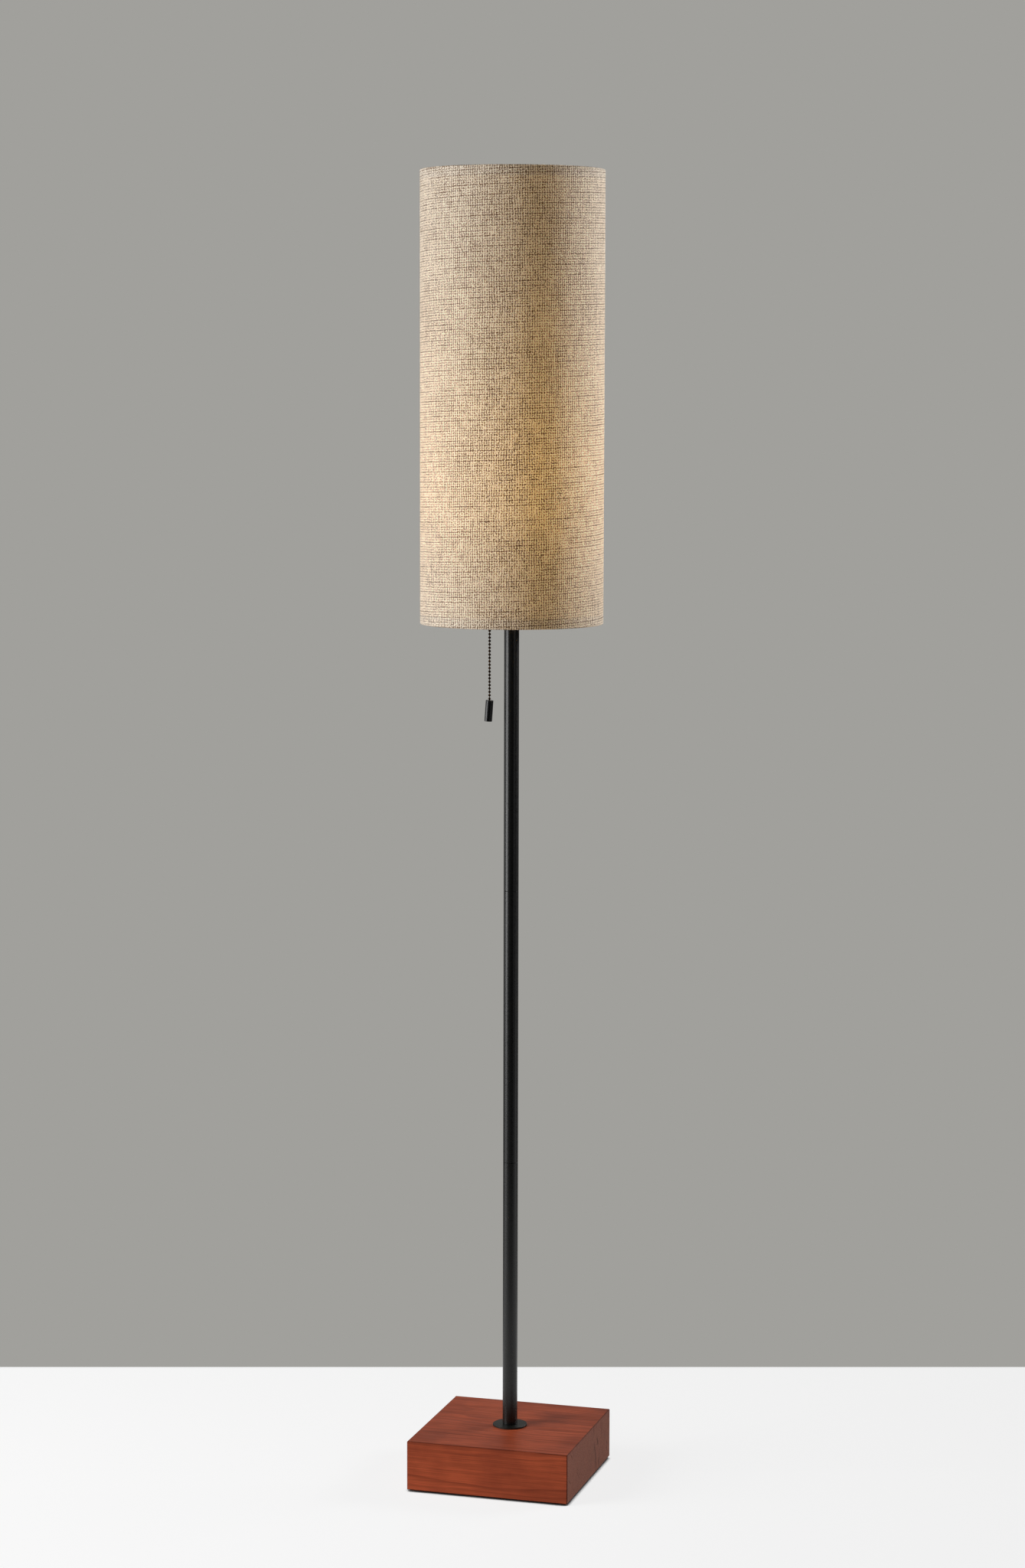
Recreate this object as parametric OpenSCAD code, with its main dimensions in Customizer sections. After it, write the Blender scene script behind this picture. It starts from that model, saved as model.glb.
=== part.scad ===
// Column floor lamp: a square wooden base with a cast weight in it, a pole of three steel
// tubes, a pull-chain lamp socket, and a tall tube shade of woven fabric on a ring fitter.
// Millimetres, +Z up. The origin is on the floor, on the axis of the pole. -Y is the front,
// the chain hangs on the -X side, and the cord inlet is at the back, +Y.

/* [Base block] */
// Width of the wooden block, left to right
block_w = 200; // [180:1:280]
// Depth of the wooden block, front to back
block_d = 200; // [180:1:280]
// Height of the wooden block
block_h = 60; // [50:1:90]
// Width of the flat that eases each edge of the block
block_edge = 0.8; // [0.4:0.1:3]
// Radius of the round pocket under the block
pocket_r = 75; // [68:0.5:78]
// Depth of the pocket
pocket_depth = 36; // [33:0.5:44]
// Radius of a foot pad
foot_r = 11; // [8:0.5:13]
// Thickness of a foot pad
foot_h = 2; // [1:0.5:5]
// Distance from the rim of a foot pad to the sides of the block
foot_inset = 5; // [2:0.5:8]
// Width of the lip that the pocket's cover lies on
cover_lip = 8; // [7:0.5:10]
// Thickness of the pocket's cover
cover_t = 2.4; // [1.5:0.1:4]
// Thickness of the cast weight
weight_t = 22; // [16:0.5:25]
// Radius of the recess under the weight that takes the washer and the nut
weight_recess_r = 23; // [20:0.5:30]

/* [Cord inlet] */
// Radius of the hole through the bushing
bushing_bore_r = 3.5; // [2.5:0.1:4.2]
// Radius of the bushing's barrel
bushing_r = 5; // [4.6:0.1:5.8]
// Radius of the bushing's flange
bushing_flange_r = 7.5; // [6.5:0.1:8]

/* [Pole] */
// Outer diameter of the tubes
pole_d = 18; // [15:0.5:25]
// Wall of the tubes
pole_wall = 1; // [0.8:0.1:1.5]
// Length of the lowest tube
pole_lower_len = 325.5; // [200:0.5:450]
// Length of the middle tube and of the upper tube
pole_section_len = 331.5; // [200:0.5:450]
// Diameter of the flange under the pole
flange_d = 41.5; // [30:0.5:60]
// Thickness of the flange
flange_t = 2; // [1:0.5:5]
// Diameter of the threaded nipples
nipple_d = 9.7; // [9:0.1:10.5]
// Bore of the threaded nipples
nipple_bore = 7; // [6.6:0.1:7.6]
// Length of each threaded insert in a tube
insert_len = 16; // [10:0.5:30]

/* [Socket] */
// Radius of the cap at the bottom of the socket
socket_cap_r = 17; // [16:0.1:17.4]
// Height of the cap
socket_cap_h = 21; // [19:0.5:30]
// Radius of the switch housing
switch_r = 17.5; // [17:0.1:19]
// Height of the switch housing
switch_h = 24; // [22:0.5:30]
// Radius of the threaded socket shell
shell_r = 19.3; // [18.5:0.1:21]
// Height of the threaded socket shell
shell_h = 35; // [30:0.5:45]
// Height of the shell's shoulder over the switch housing
shoulder_rise = 14; // [9:0.5:18]
// Inner radius of the brass screw shell
screw_shell_r = 13.45; // [13.35:0.05:14]

/* [Pull chain] */
// Distance of the hanging chain from the axis of the pole
chain_x = 27.4; // [25.5:0.1:34]
// Diameter of a bead
bead_d = 3.2; // [2.6:0.1:3.5]
// Distance from bead to bead
bead_pitch = 4.06; // [3.9:0.01:5]
// Bead at which the chain is taken to bend, counted from the guide
bend_bead = 15; // [8:1:22]
// Last bead, held in the knob, counted from the guide
last_bead = 31; // [26:1:45]
// Diameter of the knob
knob_d = 9.3; // [8.8:0.1:14]
// Length of the knob
knob_len = 25.3; // [15:0.1:40]
// Tilt at which the knob hangs, its foot away from the pole
knob_tilt = 4; // [0:0.5:4]
// Travel of the chain when it is pulled
pull_travel = 9; // [6:0.5:9]
// Turn of the switch drum at a full pull, in degrees
drum_turn = 90; // [80:1:110]

/* [Shade] */
// Outer diameter of the shade
shade_d = 218; // [180:1:300]
// Height of the shade
shade_h = 533; // [300:1:700]
// Thickness of the fabric
fabric_t = 0.6; // [0.4:0.1:1]
// Thickness of the stiff liner behind the fabric
liner_t = 0.8; // [0.5:0.1:1.5]
// Height of the hem turned in at each rim
hem_h = 12; // [8:0.5:25]
// Diameter of the wire of the shade's rings
ring_wire_d = 3.8; // [3:0.1:5]
// Diameter of the fitter's arms
arm_d = 3.4; // [2.4:0.1:3.6]
// Number of the fitter's arms
arm_count = 3; // [3:1:3]
// Height of the fitter's hub over the lower rim of the shade
fitter_drop = 73.5; // [60:0.5:110]
// Height of the fitter's hub
hub_h = 4; // [3.8:0.1:8]
// Radial width of the fitter's hub
hub_w = 3.9; // [3:0.1:6]
// Height of the ring nut that holds the fitter down
ring_nut_h = 6; // [4:0.5:9]

/* [Bulb] */
// Diameter of the bulb's globe
globe_d = 60; // [45:1:80]
// Height of the globe's centre over the tip of the bulb
globe_rise = 80; // [68:0.5:110]
// Diameter of the bulb's screw cap
bulb_cap_d = 26.1; // [25.6:0.1:26.2]
// Height of the bulb's screw cap
bulb_cap_h = 22; // [18:0.5:27]

/* [Inner lead] */
// Diameter of each insulated wire
lead_wire_d = 2.4; // [1.8:0.1:2.6]
// Diameter of a crimped splice cap
splice_d = 4.8; // [4:0.1:4.8]
// Length of a crimped splice cap
splice_len = 14; // [10:0.5:16]

/* [Hidden] */
$fn = 48;
eps = 1;                  // how far a cutter runs past the face that it cuts

// Clearances
slip = 0.1;               // between a screwed or pushed piece and its hole
thread_gap = 0.05;        // between a nipple and the thread around it
fit_gap = 0.3;            // between pieces that move past each other
run_gap = 0.05;           // between the drum and its pin

// Base, from the floor up
block_z = foot_h;
block_top = block_z + block_h;
pocket_top = block_z + pocket_depth;
cover_rebate = cover_t + 0.6;
cover_r = pocket_r + cover_lip;
cover_top = block_z + cover_rebate;
cover_z = cover_top - cover_t;
weight_gap = 3;
weight_z = pocket_top - weight_t;
weight_recess = 8;
weight_slot_w = 14;
washer_t = 1.6;
washer_r = 19;
lock_washer_t = 1.6;
lock_washer_r = 8.5;
lock_washer_split = 1.5;
base_nut_h = 5;
base_nut_af = 16;
nipple_tail = 1.8;        // how far the base nipple stands out of its nut
washer_z = weight_z + weight_recess - washer_t;
lock_washer_z = washer_z - lock_washer_t;
base_nut_z = lock_washer_z - base_nut_h;
base_nipple_z = base_nut_z - nipple_tail;
screw_count = 4;
screw_r = 1.4;
screw_len = 9;
screw_head_r = 2.9;
screw_head_t = 1.5;
screw_ring_r = pocket_r + cover_lip / 2;

// Cord inlet
inlet_z = cover_top + bushing_r + 0.5;
bushing_flange_t = 1.5;
bushing_inside = 2;       // how far the barrel stands into the pocket

// Pole
pole_r = pole_d / 2;
pole_bore_r = pole_r - pole_wall;
nipple_r = nipple_d / 2;
nipple_bore_r = nipple_bore / 2;
thread_r = nipple_r + thread_gap;
nipple_hole_r = nipple_r + 0.3;
tube_edge = 0.3;
insert_setback = 1;
nipple_engage = insert_len - 2;
pole_z = block_top + flange_t;
seam_z1 = pole_z + pole_lower_len;
seam_z2 = seam_z1 + pole_section_len;
pole_top = seam_z2 + pole_section_len;
pole_cap_t = 2;
pole_cap_lip = 1.5;

// Socket
socket_z = pole_top + pole_cap_t;
cap_floor = 2.5;
cap_wall = 1.6;
cap_round = 4;
lock_nut_h = 3;
lock_nut_af = 14;
lock_nut_z = socket_z + cap_floor;
socket_nipple_top = lock_nut_z + lock_nut_h + 2.5;
switch_z = socket_z + socket_cap_h;
switch_top = switch_z + switch_h;
switch_floor = 2;
switch_cavity = [24, 18, switch_h - 2 * switch_floor];
shoulder_t = 2;
shoulder_z = switch_top + shoulder_rise;
shoulder_r = shell_r + 0.3 + hub_w;
shell_bore_r = 15.2;
shell_top = switch_top + shell_h;
insulator_t = 6.5;
insulator_r = shell_bore_r - slip;
insulator_top = switch_top + insulator_t;
screw_shell_t = 0.5;
screw_shell_h = min(26, shell_h - insulator_t - 2);
screw_shell_lip_r = 9;
contact_w = 4;
contact_half = 5;
contact_t = 0.6;
contact_h = 5;
contact_top = insulator_top + contact_h;

// Terminals under the switch housing
tab_x = 8.6;
tab_t = 1.2;
tab_w = 6;
tab_h = 12;
tab_z = switch_z - tab_h;
terminal_head_r = 2.8;
terminal_head_t = 2;
terminal_shank_r = 1.3;
terminal_z = switch_z - 4.5;

// Switch drum and chain guide
drum_r = pull_travel / (drum_turn * PI / 180);
drum_x = -2;
guide_z = switch_z + 14.5;
drum_z = guide_z - drum_r;
drum_hub_r = drum_r - bead_d / 2 + 0.2;
drum_flange_r = drum_r + 0.6;
drum_flange_t = 1.2;
drum_groove = bead_d + 0.8;
drum_w = drum_groove + 2 * drum_flange_t;
drum_teeth = 4;
drum_pin_r = 1.2;
drum_beads = 3;
guide_wall = 1.1;
guide_bore_r = bead_d / 2 + 0.5;
guide_r = guide_bore_r + guide_wall;
guide_bend_r = 7;
guide_drop = pull_travel;
guide_flare = 1.2;
guide_flare_h = 3;
guide_inner_x = 13;
guide_collar_r = guide_r + 1.3;
guide_collar_t = 1.2;
guide_mouth_z = guide_z - guide_bend_r - guide_drop;

// Hanging chain
bead_r = bead_d / 2;
link_r = 0.45;
bead_gap = 0.2;           // between a link's end and the bead that it swings round
pivot_z = guide_mouth_z - 0.6;
bend_z = pivot_z - bend_bead * bead_pitch;
knob_pivot_z = pivot_z - last_bead * bead_pitch;
link_end = bead_r + bead_gap;

// Knob, from the centre of the bead that it hangs on
knob_r = knob_d / 2;
knob_neck = 1.25;
knob_cap_t = 0.8;
knob_cap_r = 3;
knob_hole_r = 1.35;
knob_seat_r = 2.3;
knob_cavity = 4;
knob_edge = 0.3;
knob_head = knob_neck + knob_cap_t;

// Shade and fitter
shade_r = shade_d / 2;
hub_z = shoulder_z + shoulder_t;
shade_z = hub_z - fitter_drop;
shade_top = shade_z + shade_h;
liner_r = shade_r - fabric_t;
liner_bore_r = liner_r - liner_t;
ring_wire_r = ring_wire_d / 2;
ring_r = liner_bore_r - slip - ring_wire_r;
hem_out_r = ring_r - ring_wire_r - slip;
hem_in_r = hem_out_r - fabric_t;
ring_lift = fabric_t + slip + ring_wire_r;
arm_r = arm_d / 2;
arm_bend_r = 10;
arm_swell = 0.05;         // how much the rod swells where a bend starts or ends
arm_z = hub_z + hub_h / 2;
hub_in_r = shell_r + 0.3;
hub_out_r = hub_in_r + hub_w;
arm_in_r = hub_out_r + 3.5;
arm_leg_top = shade_z + hem_h + 2;
arm_run = ring_r - arm_bend_r - arm_in_r;
arm_rise = arm_z - arm_bend_r - arm_leg_top;
arm_lean = atan2(arm_run, arm_rise);
arm_len = norm([arm_run, arm_rise]);
ring_nut_w = 6;
ring_nut_z = hub_z + hub_h;
ring_nut_grooves = 20;
ring_nut_groove_r = 1.5;

// Bulb, from its tip up
bulb_z = contact_top + fit_gap;
bulb_contact_h = 2;
bulb_contact_r = 4.6;
bulb_insulator_h = 3.7;
bulb_insulator_r = 10.5;
bulb_cap_z = bulb_z + bulb_contact_h + bulb_insulator_h;
bulb_cap_r = bulb_cap_d / 2;
bulb_cap_t = 0.4;
bulb_cap_shoulder = 2;
bulb_cap_top = bulb_cap_z + bulb_cap_h;
glass_t = 0.9;
globe_r = globe_d / 2;
globe_z = bulb_z + globe_rise;
neck_r = bulb_cap_r - bulb_cap_t - slip;
neck_z = bulb_cap_top + 2;
neck_depth = 4;

// Inner lead
lead_r = lead_wire_d / 2;
lead_x = 2;
lead_bend_r = 4;
lead_run_z = base_nipple_z - lead_bend_r;
lead_runs = [34, 52];
lead_top_bend_r = 3.2;
lead_top_z = socket_nipple_top + 0.5;
splice_r = splice_d / 2;
splice_grip = 7;

// A ring standing on z = 0
module ring(outer, inner, h) {
    difference() {
        cylinder(r = outer, h = h);
        translate([0, 0, -eps]) cylinder(r = inner, h = h + 2 * eps);
    }
}

// A tube with its ends lightly bevelled on the outside
module bevelled_tube(outer, inner, h, bevel) {
    rotate_extrude() polygon([
        [inner, 0], [outer - bevel, 0], [outer, bevel],
        [outer, h - bevel], [outer - bevel, h], [inner, h]
    ]);
}

// A hexagonal nut standing on z = 0
module hex_nut(across_flats, h, bore) {
    difference() {
        cylinder(r = across_flats / 2 / cos(30), h = h, $fn = 6);
        translate([0, 0, -eps]) cylinder(r = bore, h = h + 2 * eps);
    }
}

// Part of a torus in the XY plane, from the X axis towards the Y axis
module bent_rod(bend, rod, angle) {
    rotate_extrude(angle = angle) translate([bend, 0]) circle(r = rod);
}

// A cross-section with its corners cut at 45 degrees
module eased_square(w, d, cut) {
    polygon([
        [cut - w / 2, -d / 2], [w / 2 - cut, -d / 2], [w / 2, cut - d / 2], [w / 2, d / 2 - cut],
        [w / 2 - cut, d / 2], [cut - w / 2, d / 2], [-w / 2, d / 2 - cut], [-w / 2, cut - d / 2]
    ]);
}

// A block centred on the origin with all its edges eased
module eased_block(w, d, h, cut) {
    intersection() {
        translate([0, 0, -h / 2]) linear_extrude(h) eased_square(w, d, cut);
        rotate([90, 0, 0]) translate([0, 0, -d / 2]) linear_extrude(d) eased_square(w, h, cut);
        rotate([90, 0, 90]) translate([0, 0, -w / 2]) linear_extrude(w) eased_square(d, h, cut);
    }
}

// The places of the screws that hold the cover
module at_cover_screws() {
    for (i = [0 : screw_count - 1]) rotate([0, 0, 45 + i * 360 / screw_count])
        translate([screw_ring_r, 0, cover_z]) children();
}

// A countersunk screw, its head flush with z = 0, with room around it when grown
module cover_screw(grow) {
    cylinder(r = screw_r + grow, h = screw_len);
    cylinder(r1 = screw_head_r + grow, r2 = screw_r + grow, h = screw_head_t);
}

// ---- Base ----

// Four pads that keep the wood off the floor
module feet() {
    reach_x = block_w / 2 - foot_inset - foot_r;
    reach_y = block_d / 2 - foot_inset - foot_r;
    color("#1c1b1a") for (x = [-1, 1], y = [-1, 1])
        translate([x * reach_x, y * reach_y, 0]) cylinder(r = foot_r, h = foot_h);
}

// Sheet steel disc that closes the pocket
module base_cover() {
    color("#24211f") difference() {
        translate([0, 0, cover_z]) cylinder(r = cover_r - fit_gap, h = cover_t);
        at_cover_screws() cover_screw(slip);
    }
}

// Wood screws through the cover into the lip
module cover_screws() {
    color("#6d6a66") at_cover_screws() cover_screw(0);
}

// Iron casting that steadies the lamp, with a slot for the lead
module base_weight() {
    r = pocket_r - weight_gap;
    bevel = 1.5;
    color("#3a3938") difference() {
        translate([0, 0, weight_z]) rotate_extrude() polygon([
            [nipple_hole_r, 0], [r - bevel, 0], [r, bevel], [r, weight_t], [nipple_hole_r, weight_t]
        ]);
        translate([0, 0, weight_z - eps]) cylinder(r = weight_recess_r, h = weight_recess + eps);
        translate([-weight_slot_w / 2, 0, weight_z - eps])
            cube([weight_slot_w, pocket_r, weight_recess + eps]);
    }
}

// Solid wooden block with a round pocket and a lip for the cover
module base_block() {
    color("#8a4c39") difference() {
        translate([0, 0, block_z + block_h / 2]) eased_block(block_w, block_d, block_h, block_edge);
        translate([0, 0, block_z - eps]) cylinder(r = pocket_r, h = pocket_depth + eps);
        translate([0, 0, block_z - eps]) cylinder(r = cover_r, h = cover_rebate + eps);
        cylinder(r = nipple_hole_r, h = block_top + eps);
        translate([0, 0, inlet_z]) rotate([-90, 0, 0])
            cylinder(r = bushing_r + slip, h = block_d / 2 + eps);
        at_cover_screws() cylinder(r = screw_r + run_gap, h = screw_len + 1);
    }
}

// Moulded bushing in the back of the block, where a cord goes in
module cord_bushing() {
    inner_y = sqrt(pocket_r * pocket_r - bushing_r * bushing_r) - bushing_inside;
    barrel = block_d / 2 - inner_y;
    color("#191817") translate([0, inner_y, inlet_z]) rotate([-90, 0, 0]) difference() {
        union() {
            cylinder(r = bushing_r, h = barrel + bushing_flange_t);
            translate([0, 0, barrel]) cylinder(r = bushing_flange_r, h = bushing_flange_t);
        }
        translate([0, 0, -eps]) cylinder(r = bushing_bore_r, h = barrel + bushing_flange_t + 2 * eps);
    }
}

// Round steel flange that spreads the pole's load on the wood
module base_flange() {
    color("#1b1c1a") translate([0, 0, block_top])
        bevelled_tube(flange_d / 2, nipple_hole_r, flange_t, tube_edge);
}

// Threaded nipple from the nut under the weight up into the pole
module base_nipple() {
    top = pole_z + insert_setback + nipple_engage;
    color("#8d8b86") translate([0, 0, base_nipple_z])
        bevelled_tube(nipple_r, nipple_bore_r, top - base_nipple_z, tube_edge);
}

module base_washer() {
    color("#8d8b86") translate([0, 0, washer_z]) ring(washer_r, nipple_hole_r, washer_t);
}

// Split spring washer
module base_lock_washer() {
    color("#77746f") translate([0, 0, lock_washer_z]) difference() {
        ring(lock_washer_r, nipple_hole_r, lock_washer_t);
        translate([0, -lock_washer_split / 2, -eps])
            cube([lock_washer_r + eps, lock_washer_split, lock_washer_t + 2 * eps]);
    }
}

module base_nut() {
    color("#8d8b86") translate([0, 0, base_nut_z]) hex_nut(base_nut_af, base_nut_h, thread_r);
}

// ---- Pole ----

// One steel tube of the pole
module pole_tube(h) {
    color("#171716") bevelled_tube(pole_r, pole_bore_r, h, tube_edge);
}

module pole_lower() {
    translate([0, 0, pole_z]) pole_tube(pole_lower_len);
}

module pole_middle() {
    translate([0, 0, seam_z1]) pole_tube(pole_section_len);
}

module pole_upper() {
    translate([0, 0, seam_z2]) pole_tube(pole_section_len);
}

// Threaded inserts pressed into both ends of the three tubes
module tube_inserts() {
    from_end = insert_setback;
    to_end = insert_setback + insert_len;
    starts = [pole_z + from_end, seam_z1 - to_end, seam_z1 + from_end,
              seam_z2 - to_end, seam_z2 + from_end, pole_top - to_end];
    color("#7a7771") for (z = starts) translate([0, 0, z]) ring(pole_bore_r, thread_r, insert_len);
}

// Nipples that join the tubes at the two seams
module seam_nipples() {
    half = insert_setback + nipple_engage;
    color("#8d8b86") for (z = [seam_z1, seam_z2]) translate([0, 0, z - half])
        bevelled_tube(nipple_r, nipple_bore_r, 2 * half, tube_edge);
}

// Check ring that closes the top of the pole
module pole_cap() {
    color("#1b1c1a") translate([0, 0, pole_top])
        bevelled_tube(pole_r + pole_cap_lip, nipple_hole_r, pole_cap_t, tube_edge);
}

// ---- Socket ----

// Nipple that holds the socket on the pole
module socket_nipple() {
    bottom = pole_top - insert_setback - nipple_engage;
    color("#8d8b86") translate([0, 0, bottom])
        bevelled_tube(nipple_r, nipple_bore_r, socket_nipple_top - bottom, tube_edge);
}

module socket_lock_nut() {
    color("#8d8b86") translate([0, 0, lock_nut_z]) hex_nut(lock_nut_af, lock_nut_h, thread_r);
}

// Moulded cup under the switch, round at its foot
module socket_cap() {
    color("#1d1b19") translate([0, 0, socket_z]) difference() {
        rotate_extrude() difference() {
            union() {
                translate([0, cap_round]) square([socket_cap_r, socket_cap_h - cap_round]);
                square([socket_cap_r - cap_round, cap_round + eps]);
                translate([socket_cap_r - cap_round, cap_round]) circle(r = cap_round);
            }
            translate([-eps, cap_floor]) square([socket_cap_r - cap_round + eps, socket_cap_h]);
            translate([0, cap_round]) square([socket_cap_r - cap_wall, socket_cap_h]);
            translate([-2 * socket_cap_r, -eps]) square([2 * socket_cap_r, socket_cap_h + 2 * eps]);
        }
        translate([0, 0, -eps]) cylinder(r = nipple_hole_r, h = cap_floor + 2 * eps);
    }
}

// Brass tabs that the wires end on
module terminal_tabs() {
    color("#b08d4a") for (side = [0, 1]) mirror([side, 0, 0]) difference() {
        translate([tab_x, -tab_w / 2, tab_z]) cube([tab_t, tab_w, tab_h]);
        translate([tab_x - eps, 0, terminal_z]) rotate([0, 90, 0])
            cylinder(r = terminal_shank_r + run_gap, h = tab_t + 2 * eps);
    }
}

module terminal_screws() {
    shank = tab_t + 1.6;
    color("#b08d4a") for (side = [0, 1]) mirror([side, 0, 0])
        translate([tab_x + tab_t, 0, terminal_z]) rotate([0, 90, 0]) difference() {
            union() {
                translate([0, 0, -shank]) cylinder(r = terminal_shank_r, h = shank + eps);
                cylinder(r = terminal_head_r, h = terminal_head_t);
            }
            translate([-terminal_head_r - eps, -0.4, terminal_head_t - 0.8])
                cube([2 * terminal_head_r + 2 * eps, 0.8, 2]);
        }
}

// Housing of the pull switch, hollow for the drum and open to the chain guide
module switch_body() {
    color("#1d1b19") difference() {
        translate([0, 0, switch_z]) cylinder(r = switch_r, h = switch_h);
        translate([-switch_cavity.x / 2, -switch_cavity.y / 2, switch_z + switch_floor])
            cube(switch_cavity);
        translate([0, 0, guide_z]) rotate([0, -90, 0])
            cylinder(r = guide_r + run_gap, h = switch_r + eps);
        translate([drum_x, 0, drum_z]) rotate([90, 0, 0])
            cylinder(r = drum_pin_r + run_gap, h = 2 * drum_pin_reach(), center = true);
    }
}

// Half the length of the drum's pin
function drum_pin_reach() = switch_cavity.y / 2 + 2;

// Spring contacts on each side of the drum
module switch_contacts() {
    strip = [6, 0.5, 12];
    off = drum_w / 2 + 1.6;
    color("#b08d4a") for (side = [0, 1]) mirror([0, side, 0]) difference() {
        translate([drum_x - strip.x / 2, off, switch_z + switch_floor]) cube(strip);
        translate([drum_x, 0, drum_z]) rotate([-90, 0, 0])
            cylinder(r = drum_pin_r + 0.6, h = off + strip.y + eps);
    }
}

module drum_pin() {
    color("#8d8b86") translate([drum_x, 0, drum_z]) rotate([90, 0, 0])
        cylinder(r = drum_pin_r, h = 2 * drum_pin_reach() - slip, center = true);
}

// Ratchet drum with the first beads of the chain in its groove
module switch_drum() {
    color("#4a4844") translate([drum_x, 0, drum_z]) rotate([90, 0, 0]) difference() {
        union() {
            cylinder(r = drum_hub_r, h = drum_w, center = true);
            for (side = [-1, 1]) translate([0, 0, side * (drum_w - drum_flange_t) / 2]) difference() {
                cylinder(r = drum_flange_r, h = drum_flange_t, center = true);
                for (i = [0 : drum_teeth - 1]) rotate([0, 0, (i + 0.5) * 360 / drum_teeth])
                    translate([drum_flange_r - 1, 0, -drum_flange_t]) cube([3, 1.6, 2 * drum_flange_t]);
            }
            for (i = [0 : drum_beads - 1]) rotate([0, 0, 90 - i * bead_pitch / drum_r * 180 / PI])
                translate([drum_r, 0, 0]) sphere(r = bead_r);
        }
        cylinder(r = drum_pin_r + run_gap, h = drum_w + 2 * eps, center = true);
    }
}

// Bent spout that leads the chain out of the switch and down
module chain_guide() {
    bend_x = chain_x - guide_bend_r;
    bend_z0 = guide_z - guide_bend_r;
    flare_r = guide_r + guide_flare;
    color("#2a2826") difference() {
        union() {
            translate([-bend_x, 0, guide_z]) rotate([0, 90, 0])
                cylinder(r = guide_r, h = bend_x - guide_inner_x);
            translate([-switch_r - guide_collar_t - slip, 0, guide_z]) rotate([0, 90, 0])
                cylinder(r = guide_collar_r, h = guide_collar_t);
            translate([-bend_x, 0, bend_z0]) rotate([90, 0, 0]) rotate([0, 0, 90])
                bent_rod(guide_bend_r, guide_r, 90);
            translate([-chain_x, 0, guide_mouth_z]) cylinder(r = guide_r, h = guide_drop);
            translate([-chain_x, 0, guide_mouth_z])
                cylinder(r1 = flare_r, r2 = guide_r, h = guide_flare_h);
        }
        translate([-bend_x, 0, guide_z]) rotate([0, 90, 0])
            cylinder(r = guide_bore_r, h = bend_x);
        translate([-bend_x, 0, bend_z0]) rotate([90, 0, 0]) rotate([0, 0, 90])
            bent_rod(guide_bend_r, guide_bore_r, 90);
        translate([-chain_x, 0, guide_mouth_z - eps])
            cylinder(r = guide_bore_r, h = guide_drop + eps);
        translate([-chain_x, 0, guide_mouth_z])
            cylinder(r1 = flare_r - guide_wall / 2, r2 = guide_bore_r, h = guide_flare_h);
    }
}

// Threaded shell over the switch, with the shoulder that the shade's fitter lies on
module socket_shell() {
    color("#1d1b19") translate([0, 0, switch_top]) difference() {
        union() {
            cylinder(r = shell_r, h = shell_h);
            translate([0, 0, shoulder_rise]) cylinder(r = shoulder_r, h = shoulder_t);
        }
        translate([0, 0, -eps]) cylinder(r = shell_bore_r, h = shell_h + 2 * eps);
    }
}

module socket_insulator() {
    color("#cfc8b8") translate([0, 0, switch_top]) cylinder(r = insulator_r, h = insulator_t);
}

// Brass shell that the bulb screws into
module screw_shell() {
    color("#b08d4a") translate([0, 0, insulator_top]) difference() {
        cylinder(r = screw_shell_r + screw_shell_t, h = screw_shell_h);
        translate([0, 0, screw_shell_t]) cylinder(r = screw_shell_r, h = screw_shell_h);
        translate([0, 0, -eps]) cylinder(r = screw_shell_lip_r, h = screw_shell_h);
    }
}

// Bent brass tongue under the tip of the bulb
module centre_contact() {
    half = contact_half;
    crown = 2.5;
    color("#b08d4a") translate([0, 0, insulator_top]) rotate([90, 0, 0])
        translate([0, 0, -contact_w / 2]) linear_extrude(contact_w) polygon([
            [-half - 2, 0], [-half, 0], [-crown, contact_h - contact_t], [crown, contact_h - contact_t],
            [half, 0], [half + 2, 0], [half + 2, contact_t], [half + contact_t / 2, contact_t],
            [crown + contact_t / 2, contact_h], [-crown - contact_t / 2, contact_h],
            [-half - contact_t / 2, contact_t], [-half - 2, contact_t]
        ]);
}

// ---- Pull chain ----

// Beads first to last on the links between them, counted down from the pivot
module bead_string(first, last) {
    for (i = [first : last]) translate([0, 0, -i * bead_pitch]) sphere(r = bead_r);
}

// The stretch of link from height a down to height b under the pivot
module link_wire(a, b) {
    translate([0, 0, -b]) cylinder(r = link_r, h = b - a);
}

// Beads in the drop of the guide, which follow the pull
module chain_lead() {
    color("#26231f") translate([-chain_x, 0, pivot_z]) {
        bead_string(-2, -1);
        link_wire(-2 * bead_pitch, -link_end);
    }
}

// The bead in the mouth of the guide, which the chain swings round
module chain_pivot_bead() {
    color("#26231f") translate([-chain_x, 0, pivot_z]) bead_string(0, 0);
}

module chain_upper() {
    color("#26231f") translate([-chain_x, 0, pivot_z]) {
        bead_string(1, bend_bead - 1);
        link_wire(link_end, bend_bead * bead_pitch - link_end);
    }
}

// The chain from the bead where it bends down to the bead in the knob
module chain_lower() {
    color("#26231f") translate([-chain_x, 0, pivot_z]) {
        bead_string(bend_bead, last_bead);
        link_wire(bend_bead * bead_pitch, last_bead * bead_pitch);
    }
}

// Turned knob with a cavity for the last bead
module chain_knob() {
    foot = knob_len - knob_head;
    color("#161615") translate([-chain_x, 0, knob_pivot_z]) rotate([0, knob_tilt, 0]) difference() {
        translate([0, 0, -foot]) rotate_extrude() polygon([
            [0, 0], [knob_r - knob_edge, 0], [knob_r, knob_edge],
            [knob_r, knob_len - knob_edge], [knob_r - knob_edge, knob_len], [0, knob_len]
        ]);
        translate([0, 0, -knob_cavity]) cylinder(r = knob_seat_r, h = knob_cavity + knob_head + eps);
        translate([0, 0, knob_neck]) cylinder(r = knob_cap_r + thread_gap, h = knob_cap_t + eps);
    }
}

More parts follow.
